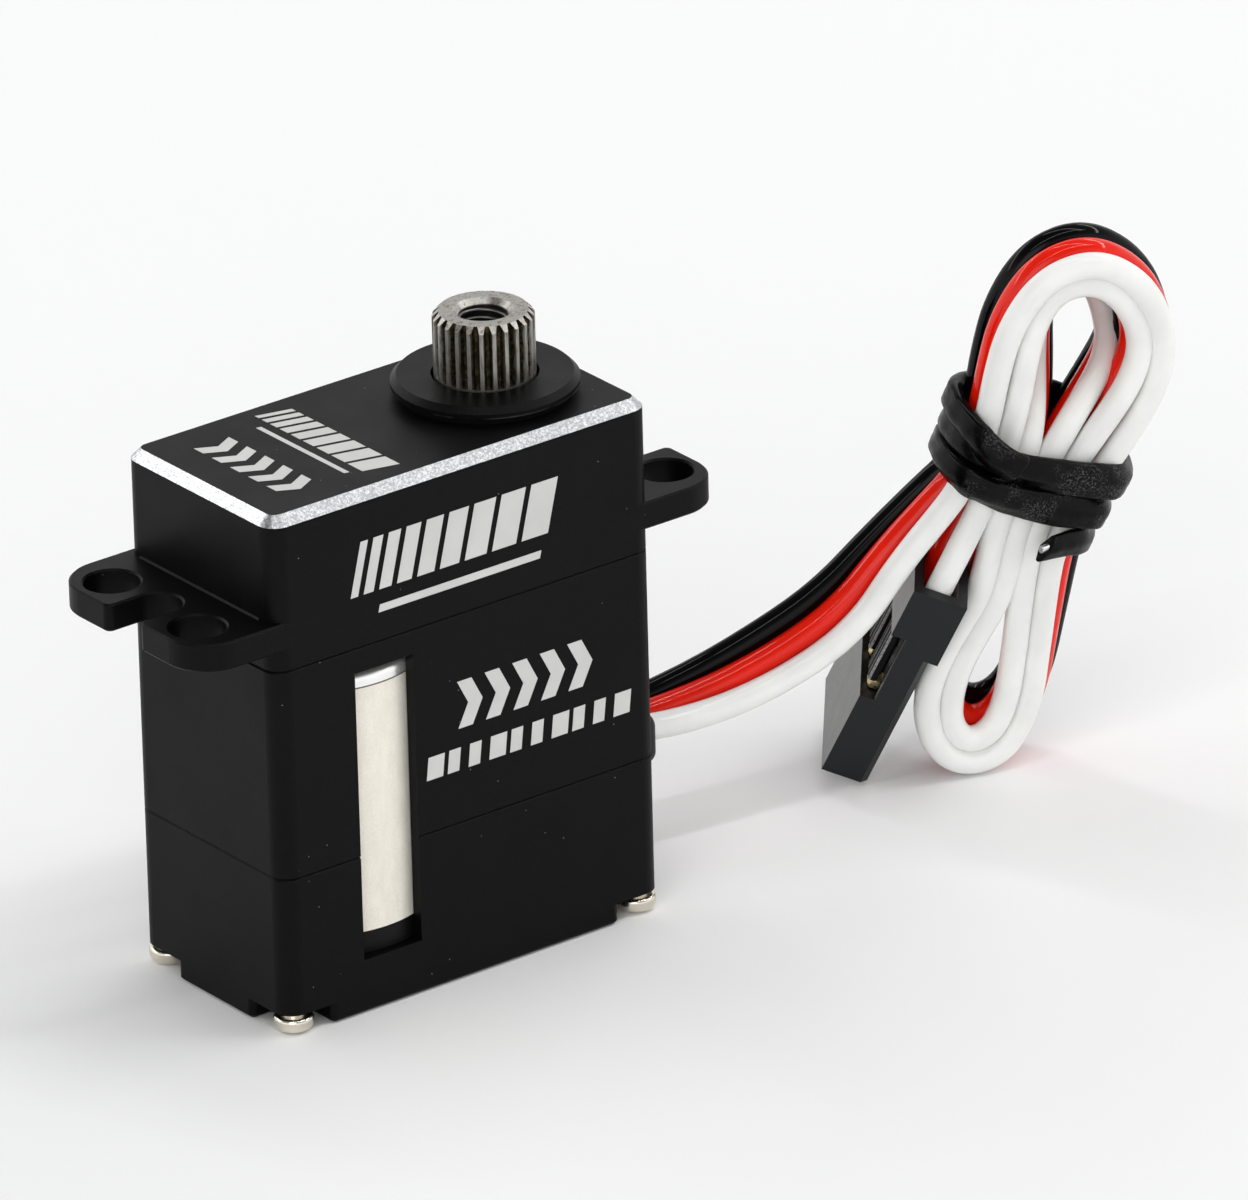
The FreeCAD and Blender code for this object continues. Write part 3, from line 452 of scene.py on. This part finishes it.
def contact_metal():
    """Gilt where the lance shows at the foot of the window; further up painted near black as painted shade
    inside the window.
    """
    s = Shader("contact_gilt", (0.95, 0.72, 0.35), 0.3, 1.0)
    along = s.along_way(PLUG_LENGTH_WAY, PLUG_AT)
    worn = s.noise(0.3, 4, 0.6)
    gilt = s.mix(s.span(worn, 0.3, 0.7), (0.80, 0.62, 0.33), (0.97, 0.80, 0.50))
    # Beyond the gilt end the contact is painted near black: painted shade inside the window.
    beyond = s.math("GREATER_THAN", along, CONTACT_GILT_END * MM)
    s.feed("Base Color", s.mix(beyond, gilt, (0.01, 0.01, 0.01)))
    s.feed("Roughness", s.span(worn, 0.3, 0.7, 0.22, 0.4))
    return s


CASE = anodised("case_black")
CASE_TOP = anodised("case_black_bare_edge", bare_edge=True)
NICKEL = satin_can()
SCREW_NICKEL = metal("screw_nickel", (0.84, 0.79, 0.68), 0.22, 0.1, 0.002)
STEEL = metal("dark_steel", (0.36, 0.35, 0.32), 0.38, 0.06, 0.006, stain=(0.16, 0.09, 0.045))
BRIGHT_STEEL = metal("bright_steel", (0.62, 0.62, 0.62), 0.25)
BRASS = metal("brass", (0.78, 0.56, 0.24), 0.3)
COPPER = metal("copper", (0.75, 0.38, 0.2), 0.35)
GOLD = contact_metal()
TOOTH_STEEL = tooth_steel()
THREAD_STEEL = metal("thread_steel", (0.2, 0.2, 0.19), 0.35)
BLACK_PLASTIC = plastic("black_plastic", (0.004, 0.004, 0.004), 0.45, specular=0.15)
BOARD = plastic("board", (0.02, 0.11, 0.045), 0.45)
NYLON = plastic("nylon", (0.75, 0.74, 0.69), 0.5)
RUBBER = plastic("rubber", (0.012, 0.012, 0.013), 0.5, 0.15, 0.02, 0.3)
PLUG = plug_moulding()
TIE_PVC = tie_pvc()
TIE_WIRE = metal("tie_wire", (0.8, 0.8, 0.8), 0.3)
WHITE_WIRE = insulation("white_wire", (0.885, 0.89, 0.865), 0.34, 0.25, 0.35)
RED_WIRE = insulation("red_wire", (0.80, 0.011, 0.001), 0.32, 0.06, 0.5)
BLACK_WIRE = insulation("black_wire", (0.0008, 0.0008, 0.0011), 0.4, 0.02, 0.26)
INK = plastic("ink", (0.62, 0.62, 0.61), 0.55, 0.1, 0.004, 0.3, 0.1)

dress(CASE, "bottom_cover", "middle_case")
dress(CASE_TOP, "top_case")
dress(NICKEL, "motor_can")
dress(SCREW_NICKEL, "case_screws", "motor_screws")
dress(BLACK_PLASTIC, "motor_end_cap", "pot_body", "board_capacitor", "control_chip", "power_transistors")
dress(BRIGHT_STEEL, "motor_magnet", "motor_shaft", "gear_axle")
dress(BRIGHT_STEEL, "bearing_inner_ring", "bearing_outer_ring", "bearing_balls")
dress(COPPER, "motor_winding", "motor_commutator", "motor_brushes", "motor_terminals", "pot_leads")
dress(BRASS, "motor_bush", "lower_bush", "motor_pinion", "gear_1_wheel", "gear_2_wheel", "bearing_cage")
dress(STEEL, "gear_1_pinion", "gear_2_pinion", "gear_3_wheel", "gear_3_pinion", "output_gear")
dress(TOOTH_STEEL, "output_shaft")
dress(BOARD, "control_board")
dress(NYLON, "pot_wiper")
dress(RUBBER, "cable_grommet")
dress(BLACK_WIRE, "lead_roots")
dress(PLUG, "plug_housing")
dress(GOLD, "plug_contacts")


def add_piece(name, mesh, shader, rides):
    """Turn finished bmesh geometry into a piece that rides with a body."""
    data = bpy.data.meshes.new(name)
    mesh.to_mesh(data)
    mesh.free()
    data.materials.append(shader.material)
    piece = bpy.data.objects.new(name, data)
    scene.collection.objects.link(piece)
    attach(piece, rides)
    return piece


# ---------------------------------------------------------------- thread in the output shaft
THREAD_R = 1.2
THREAD_PITCH = 0.42
THREAD_LOW_Z = 29.4
THREAD_HIGH_Z = 31.32
THREAD_RIDGE_R = 0.1
THREAD_STEPS = 24           # points per turn


def make_thread():
    """The screw thread in the end of the output shaft, as one fine helix of steel."""
    curve = bpy.data.curves.new("horn_thread", "CURVE")
    curve.dimensions = "3D"
    curve.bevel_depth = THREAD_RIDGE_R * MM
    curve.bevel_resolution = 2
    count = int((THREAD_HIGH_Z - THREAD_LOW_Z) / THREAD_PITCH * THREAD_STEPS)
    spline = curve.splines.new("POLY")
    spline.points.add(count)
    for k, point in enumerate(spline.points):
        turns = k / THREAD_STEPS
        a = 2 * math.pi * turns
        x = OUTPUT_X + THREAD_R * math.cos(a)
        spot = mm(x, THREAD_R * math.sin(a), THREAD_LOW_Z + THREAD_PITCH * turns)
        point.co = (*spot, 1)
    curve.materials.append(THREAD_STEEL.material)
    thread = bpy.data.objects.new("horn_thread", curve)
    scene.collection.objects.link(thread)
    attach(thread, "output")


make_thread()

# ---------------------------------------------------------------- lead, millimetres unless said
WIRE_R = 0.675
WIRE_PITCH = 1.35
# Middle wire from the boot to the tie, with the direction across the three wires.
LEAD_ROUTE = [
    ((14.2, 0.0, 7.3), (0.0, 1.0, 0.0)),
    ((17.3, -0.55, 7.55), (0.25, 0.9, 0.35)),
    ((21.6, -1.45, 8.7), (-0.1, 0.75, 0.6)),
    ((25.6, -2.25, 10.5), (-0.2, 0.8, 0.55)),
    ((28.4, -2.8, 13.3), (0.1, 0.98, 0.15)),
    ((31.0, -3.35, 15.5), (0.29, 0.95, 0.1)),
]
HANK_AT = Vector((32.56, -3.54, 0.0))
HANK_TURN = math.radians(17.0)
HANK_LEAN = math.radians(6.0)
HANK_ALONG = Vector((math.cos(HANK_TURN), -math.sin(HANK_TURN), 0))
HANK_BACK = Vector((
    math.sin(HANK_TURN) * math.cos(HANK_LEAN),
    math.cos(HANK_TURN) * math.cos(HANK_LEAN),
    math.sin(HANK_LEAN),
))
HANK_UP = HANK_ALONG.cross(HANK_BACK)


def in_hank(along, up, back):
    """A point given in the hank's own plane, in millimetres."""
    return HANK_AT + HANK_ALONG * along + HANK_UP * up + HANK_BACK * back


# The front wire's way through the hank, as (along, up, back) points, and how the wires behind it
# lean in each stretch: (along, up) per wire at its start, its middle and its end.
HANK_STRETCHES = [
    # up through the tie and over the outer turn at the top
    ([(-0.75, 16.5, 0), (0.15, 18.3, 0), (0.72, 20.4, 0), (1.08, 22.6, 0), (1.62, 24.8, 0), (2.75, 26.75, 0),
      (4.1, 27.75, 0), (5.7, 28.05, 0), (7.2, 27.6, 0), (8.6, 26.4, 0), (9.55, 24.8, 0), (9.97, 23.0, 0),
      (9.75, 20.9, 0), (8.9, 19.1, 0), (7.6, 17.2, 0), (6.3, 15.4, 0)],
     [(0.27, 0.0), (0.15, 0.12), (0.55, 0.0)]),
    # down through the tie and round the outer turn at the bottom
    ([(5.1, 13.8, 0), (4.35, 12.0, 0), (4.07, 10.3, 0), (3.86, 8.3, 0), (3.64, 6.2, 0), (3.42, 4.1, 0),
      (2.9, 2.3, 0), (1.95, 1.05, 0), (0.6, 0.6, 0), (-0.75, 1.0, 0), (-1.75, 2.2, 0), (-2.2, 3.7, 0),
      (-2.16, 5.3, 0), (-1.5, 7.1, 0), (-0.45, 8.9, 0), (0.4, 10.2, 0), (0.85, 12.0, 0)],
     [(1.25, 0.0), (0.6, 0.1), (0.55, 0.0)]),
    # up through the tie and over the inner turn at the top, which stands behind the others
    ([(1.25, 14.0, 0), (1.95, 16.0, 0), (2.85, 17.9, 0.1), (3.4, 19.3, 0.8), (3.8, 20.7, 1.8),
      (4.2, 22.2, 3.0), (4.75, 23.7, 4.0), (5.7, 24.9, 4.6), (6.9, 25.3, 4.8), (8.0, 24.5, 4.6),
      (8.5, 22.9, 4.1), (8.3, 21.9, 3.0), (7.6, 21.1, 2.0), (6.6, 20.3, 1.2), (5.2, 19.0, 0.4),
      (4.0, 17.5, 0)],
     [(0.7, 0.0), (0.75, 0.0), (0.6, 0.0)]),
    # down through the tie and round the inner turn at the bottom
    ([(3.1, 15.6, 0), (2.3, 13.5, 0), (2.03, 11.7, 0), (1.45, 9.75, 0), (0.4, 8.05, 0), (-0.5, 6.4, 0),
      (-0.95, 4.7, 0), (-0.92, 3.1, 0), (-0.2, 2.05, 0), (0.8, 1.95, 0), (1.65, 2.75, 0), (2.12, 4.2, 0),
      (2.35, 5.9, 0), (2.58, 8.3, 0), (2.8, 10.7, 0), (3.15, 12.8, 0)],
     [(0.4, 0.0), (0.45, 0.45), (1.25, 0.0)]),
    # up through the tie, over the middle turn at the top and down to the plug
    ([(3.9, 14.7, 0), (5.1, 16.5, 0), (6.25, 18.1, 0), (7.3, 19.5, 0), (8.2, 20.9, 0), (8.75, 22.4, 0.05),
      (8.7, 23.9, 0.15), (8.05, 25.3, 0.3), (6.95, 26.45, 0.35), (5.55, 26.9, 0.35), (4.2, 26.55, 0.35),
      (3.25, 25.3, 0.3), (2.74, 23.5, 0.15), (2.4, 21.5, 0.05), (1.95, 19.7, 0), (1.5, 17.9, 0),
      (0.75, 16.1, 0), (0.05, 14.5, 0)],
     [(0.3, 0.0), (0.15, 0.0), (0.0, 0.0)]),
]


def lean_at(leans, share):
    """The lean part way along a stretch, from those at its start, middle and end."""
    start, middle, end = (Vector(lean) for lean in leans)
    return start.lerp(middle, share * 2) if share < 0.5 else middle.lerp(end, share * 2 - 1)


def wire_points(place):
    """Route of one wire: place is 0 for the front wire, 1 for the middle and 2 for the back."""
    points = []
    for at, across in LEAD_ROUTE:
        points.append(Vector(at) + Vector(across).normalized() * ((place - 1) * WIRE_PITCH))
    for stretch, leans in HANK_STRETCHES:
        for k, (along, up, back) in enumerate(stretch):
            aside, above = lean_at(leans, k / (len(stretch) - 1))
            points.append(in_hank(along + place * aside, up + place * above, back + place * WIRE_PITCH))
    pin = PLUG_W / 2 + (place - 1) * PIN_PITCH
    last = points[-1]
    mouth = in_plug(pin, PIN_THROUGH, PLUG_L)
    points.append(last.lerp(mouth, 0.5))
    points.append(mouth)
    points.append(in_plug(pin, PIN_THROUGH, PLUG_L - PIN_DEPTH))
    return points


def make_wire(name, place, shader):
    """One insulated wire of the lead, as a single curve from the boot to the plug."""
    curve = bpy.data.curves.new(name, "CURVE")
    curve.dimensions = "3D"
    curve.resolution_u = 10
    curve.bevel_depth = WIRE_R * MM
    curve.bevel_resolution = 6
    curve.use_fill_caps = True
    route = wire_points(place)
    spline = curve.splines.new("NURBS")
    spline.points.add(len(route) - 1)
    for point, at in zip(spline.points, route):
        point.co = (*(at * MM), 1)
    spline.order_u = 3
    spline.use_endpoint_u = True
    curve.materials.append(shader.material)
    wire = bpy.data.objects.new(name, curve)
    scene.collection.objects.link(wire)
    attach(wire, "servo")
    return wire


white = make_wire("wire_white", 0, WHITE_WIRE)
red = make_wire("wire_red", 1, RED_WIRE)
black = make_wire("wire_black", 2, BLACK_WIRE)
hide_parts("lead_white", "lead_hank")
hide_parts("lead_red")
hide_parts("lead_black", "lead_tail")


# ---------------------------------------------------------------- tie
# The strip's middle line, as (along, up, back) points in the hank, from its hidden start to its cut end.
TIE_PATH = [
    (1.45, 18.4, -2.2), (0.65, 19.0, -2.05), (0.05, 19.55, -1.4), (-0.3, 20.0, -0.1), (-0.4, 20.2, 1.35),
    (0.0, 20.15, 2.9), (1.1, 19.8, 4.0), (3.0, 19.2, 4.3), (5.6, 18.5, 4.1), (7.3, 17.4, 3.7),
    (8.3, 16.2, 2.6), (8.35, 15.6, 1.0), (7.4, 15.85, -0.7), (6.0, 16.4, -1.25), (4.0, 17.05, -1.3),
    (2.0, 17.85, -1.3), (0.6, 18.45, -1.2), (-0.3, 18.85, -0.4), (-0.55, 18.95, 1.35), (-0.1, 18.8, 3.0),
    (1.2, 18.2, 4.0), (3.2, 17.0, 4.25), (5.3, 15.9, 4.2), (6.8, 15.0, 3.8), (7.35, 14.3, 2.6),
    (7.2, 14.0, 1.0), (6.4, 14.4, -0.8), (5.2, 14.85, -1.25), (3.2, 15.5, -1.3), (1.2, 16.4, -1.3),
    (-0.4, 17.3, -1.15), (-1.0, 17.65, 0.0), (-1.05, 17.75, 1.6), (-0.5, 17.55, 3.1), (0.8, 16.8, 4.1),
    (3.0, 15.2, 4.3), (5.0, 14.0, 4.2), (6.3, 13.15, 3.5), (6.65, 12.55, 2.2), (6.4, 12.4, 0.8),
    (5.7, 12.8, -0.6), (4.8, 13.15, -1.3), (3.9, 13.35, -1.7), (3.15, 13.45, -1.95),
]
TIE_STEPS = 6               # path points per stretch
TIE_SIDES = 28              # points round the section
TIE_HALF_WIDTH = 0.9
TIE_HALF_THICK = 0.34
TIE_CORE = 0.24             # how far the wire inside swells the strip
TIE_CORE_SPREAD = 0.42
TIE_WIRE_R = 0.23
TIE_WIRE_LENGTH = 0.6
TIE_DENT = 0.06             # small unevenness of the strip, outwards and sideways
TIE_WAVE = 0.04
# The strip narrows towards its cut end, which is cut aslant. Shares are of the whole path.
TIE_TAPER_FROM = 0.85
TIE_TIP_SHARE = 0.68
TIE_TIP_THIN = 0.66
TIE_CUT_FROM = 0.965
TIE_CUT_SLOPE = 0.5
# The bundle's middle line, which the strip faces away from.
TIE_MIDDLE_ALONG = 3.4
TIE_MIDDLE_UP = 15.5
TIE_MIDDLE_SLANT = 0.28
TIE_MIDDLE_BACK = 1.35


def smooth_path(points, steps):
    """Smooth Catmull-Rom line through the points."""
    out = []
    for k in range(len(points) - 1):
        a = points[max(k - 1, 0)]
        b = points[k]
        c = points[k + 1]
        d = points[min(k + 2, len(points) - 1)]
        for j in range(steps):
            t = j / steps
            out.append(0.5 * ((2 * b) + (c - a) * t + (2 * a - 5 * b + 4 * c - d) * t * t
                              + (3 * b - a - 3 * c + d) * t * t * t))
    out.append(points[-1])
    return out


def tie_section():
    """Flat strip with a round core down its middle: (across, out) pairs in millimetres."""
    ring = []
    for k in range(TIE_SIDES):
        a = 2 * math.pi * k / TIE_SIDES
        c = math.cos(a)
        s = math.sin(a)
        across = TIE_HALF_WIDTH * math.copysign(abs(c) ** 0.7, c)
        swell = TIE_HALF_THICK + TIE_CORE * math.exp(-((across / TIE_CORE_SPREAD) ** 2))
        ring.append((across, swell * math.copysign(abs(s) ** 0.55, s)))
    return ring


def make_tie():
    """The wire tie: a flat strip wound three times round the hank, with its end cut aslant."""
    path = smooth_path([in_hank(*p) for p in TIE_PATH], TIE_STEPS)
    mesh = bmesh.new()
    rings = []
    section = tie_section()
    last = len(path) - 1
    for k, at in enumerate(path):
        ahead = (path[min(k + 1, last)] - path[max(k - 1, 0)]).normalized()
        up = (at - HANK_AT).dot(HANK_UP)
        middle_along = TIE_MIDDLE_ALONG + (up - TIE_MIDDLE_UP) * TIE_MIDDLE_SLANT
        out = at - in_hank(middle_along, up, TIE_MIDDLE_BACK)
        out = (out - ahead * out.dot(ahead)).normalized()
        across = ahead.cross(out)
        share = k / last
        narrow = max(0.0, share - TIE_TAPER_FROM) / (1.0 - TIE_TAPER_FROM)
        wide = 1.0 - (1.0 - TIE_TIP_SHARE) * narrow
        thick = 1.0 - (1.0 - TIE_TIP_THIN) * narrow
        cut = -TIE_CUT_SLOPE * max(0.0, share - TIE_CUT_FROM) / (1.0 - TIE_CUT_FROM)
        ring = []
        for u, v in section:
            place = at + across * u * wide + out * v * thick + ahead * cut * u
            dent = out * TIE_DENT * noise.noise(place * 1.3)
            place += dent + across * TIE_WAVE * noise.noise(place * 0.5)
            ring.append(mesh.verts.new(place * MM))
        rings.append(ring)
    for a, b in zip(rings, rings[1:]):
        for k in range(TIE_SIDES):
            beside = (k + 1) % TIE_SIDES
            mesh.faces.new((a[k], a[beside], b[beside], b[k]))
    mesh.faces.new(rings[0])
    mesh.faces.new(reversed(rings[-1]))
    bmesh.ops.recalc_face_normals(mesh, faces=mesh.faces)
    tie = add_piece("wire_tie", mesh, TIE_PVC, "servo")
    for face in tie.data.polygons:
        face.use_smooth = len(face.vertices) == 4
    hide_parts("lead_tie")
    make_tie_wire(path[-1], (path[-1] - path[-2]).normalized())


def make_tie_wire(at, ahead):
    """The bright cut end of the wire inside the tie."""
    turn = ahead.to_track_quat("Z", "Y").to_matrix().to_4x4()
    mesh = bmesh.new()
    bmesh.ops.create_cone(mesh, cap_ends=True, segments=20, radius1=TIE_WIRE_R * MM,
                          radius2=TIE_WIRE_R * 0.8 * MM, depth=TIE_WIRE_LENGTH * MM,
                          matrix=Matrix.Translation(at * MM) @ turn)
    add_piece("tie_wire", mesh, TIE_WIRE, "servo")


make_tie()


# ---------------------------------------------------------------- printed marks
INK_THICK = 0.012
INK_SUNK = 0.004            # how far a mark starts below the surface


def make_mark(name, origin, right, up, shapes):
    """Flat printed shapes: each is a closed outline of (right, up) points in millimetres."""
    out = right.cross(up)
    mesh = bmesh.new()
    for outline in shapes:
        base = [mesh.verts.new((origin + right * x + up * y - out * INK_SUNK) * MM) for x, y in outline]
        face = mesh.faces.new(base)
        raised = bmesh.ops.extrude_face_region(mesh, geom=[face])
        moved = [v for v in raised["geom"] if isinstance(v, bmesh.types.BMVert)]
        bmesh.ops.translate(mesh, verts=moved, vec=out * (INK_THICK + INK_SUNK) * MM)
    bmesh.ops.recalc_face_normals(mesh, faces=mesh.faces)
    add_piece(name, mesh, INK, "servo")


def slanted_bar(x, y, width, height, lean=0.25):
    """Outline of a bar whose top is shifted by lean times its height."""
    return [(x, y), (x + width, y), (x + width + height * lean, y + height), (x + height * lean, y + height)]


def stripe_mark(width, height):
    """A row of slanted bars that grow wider, over a long thin rule: a plain ornament."""
    shapes = []
    x = 0.0
    bars = 9
    first = 0.35
    growth = 0.115
    gap = 0.27
    unit = width / (bars * (bars + 1) / 2 * growth + bars * (first + gap))
    for k in range(bars):
        bar = unit * (first + growth * k)
        shapes.append(slanted_bar(x, height * 0.3, bar, height * 0.7))
        x += bar + unit * gap
    shapes.append(slanted_bar(width * 0.12, 0, width * 0.72, height * 0.1))
    return shapes


def chevron_mark(width, height, count):
    """A row of chevrons that point the same way."""
    shapes = []
    step = width / (count + 0.35)
    for k in range(count):
        x = k * step
        thick = step * 0.52
        nose = step * 0.38
        shapes.append([(x, 0), (x + thick, 0), (x + thick + nose, height / 2), (x + thick, height),
                       (x, height), (x + nose, height / 2)])
    return shapes


def dash_mark(width, height, count):
    """A row of slanted dashes, every third one longer."""
    step = width / count
    return [slanted_bar(k * step, 0, step * (0.55 if k % 3 else 0.78), height, 0.12) for k in range(count)]


X = Vector((1, 0, 0))
Y = Vector((0, 1, 0))
Z = Vector((0, 0, 1))
make_mark("mark_front_stripes", Vector((-6.9, FRONT_Y, 20.9)), X, Z, stripe_mark(13.6, 4.0))
make_mark("mark_front_chevrons", Vector((-0.7, FRONT_Y, 13.35)), X, Z, chevron_mark(9.0, 2.5, 5))
make_mark("mark_front_dashes", Vector((-2.7, FRONT_Y, 11.15)), X, Z, dash_mark(12.7, 1.2, 10))
make_mark("mark_top_chevrons", Vector((-9.05, 3.5, TOP_Z)), -Y, X, chevron_mark(7.9, 2.1, 5))
make_mark("mark_top_stripes", Vector((-5.3, 4.7, TOP_Z)), -Y, X, stripe_mark(9.9, 2.7))


# ---------------------------------------------------------------- floor and light, metres
FLOOR_HALF = 3.0
FLOOR_DROP = 0.00005        # a hair below the object, so that no faces coincide


def make_floor():
    data = bpy.data.meshes.new("floor")
    corners = [(x * FLOOR_HALF, y * FLOOR_HALF, 0) for x, y in ((-1, -1), (1, -1), (1, 1), (-1, 1))]
    data.from_pydata(corners, [], [(0, 1, 2, 3)])
    s = Shader("floor_white", (0.93, 0.93, 0.93), 0.7, 0.0, 0.1)
    s.feed("Base Color", s.mix(s.noise(60, 2, 0.5), (0.915, 0.92, 0.92), (0.935, 0.935, 0.935)))
    data.materials.append(s.material)
    floor = bpy.data.objects.new("floor", data)
    floor.location.z = -FLOOR_DROP
    scene.collection.objects.link(floor)


def area_light(name, at, size, power):
    """Rectangular softbox aimed at the object."""
    data = bpy.data.lights.new(name, "AREA")
    data.shape = "RECTANGLE"
    data.size, data.size_y = size
    data.energy = power
    light = bpy.data.objects.new(name, data)
    light.location = at
    light.rotation_euler = (Vector(AIM_AT) - Vector(at)).to_track_quat("-Z", "Y").to_euler()
    scene.collection.objects.link(light)


# A white tent that is bright low down, with long narrow softboxes overhead. Each sky stop is
# the sine of the height above the horizon and how bright the tent is there.
SKY_STOPS = [(0.0, 1.25), (0.36, 1.15), (0.52, 0.5), (0.7, 0.16), (1.0, 0.1)]
SKY_STRENGTH = 1.0
AIM_AT = (0.01, 0.0, 0.01)  # where the softboxes point


def make_world():
    """The tent as a sky that changes with height alone."""
    world = bpy.data.worlds.new("studio")
    world.use_nodes = True
    tree = world.node_tree
    where = tree.nodes.new("ShaderNodeTexCoord")
    split = tree.nodes.new("ShaderNodeSeparateXYZ")
    ramp = tree.nodes.new("ShaderNodeValToRGB")
    while len(ramp.color_ramp.elements) < len(SKY_STOPS):
        ramp.color_ramp.elements.new(0.5)
    for element, (place, value) in zip(ramp.color_ramp.elements, SKY_STOPS):
        element.position = place
        element.color = (value, value, value, 1)
    sky = tree.nodes["Background"]
    tree.links.new(where.outputs["Generated"], split.inputs["Vector"])
    tree.links.new(split.outputs["Z"], ramp.inputs["Fac"])
    tree.links.new(ramp.outputs["Color"], sky.inputs["Color"])
    sky.inputs["Strength"].default_value = SKY_STRENGTH
    scene.world = world


make_floor()
make_world()
area_light("strip_right", (0.95, -0.05, 0.85), (1.7, 0.06), 4.3)
area_light("strip_top", (0.38, 0.12, 1.2), (1.7, 0.05), 3.8)
area_light("strip_over", (-0.05, -0.42, 1.2), (1.7, 0.05), 3.8)
area_light("strip_left", (-0.47, 0.85, 0.66), (1.4, 0.09), 2.3)
area_light("fill_front", (-0.75, -0.75, 0.6), (0.7, 0.7), 2.2)
scene.view_settings.view_transform = "Standard"
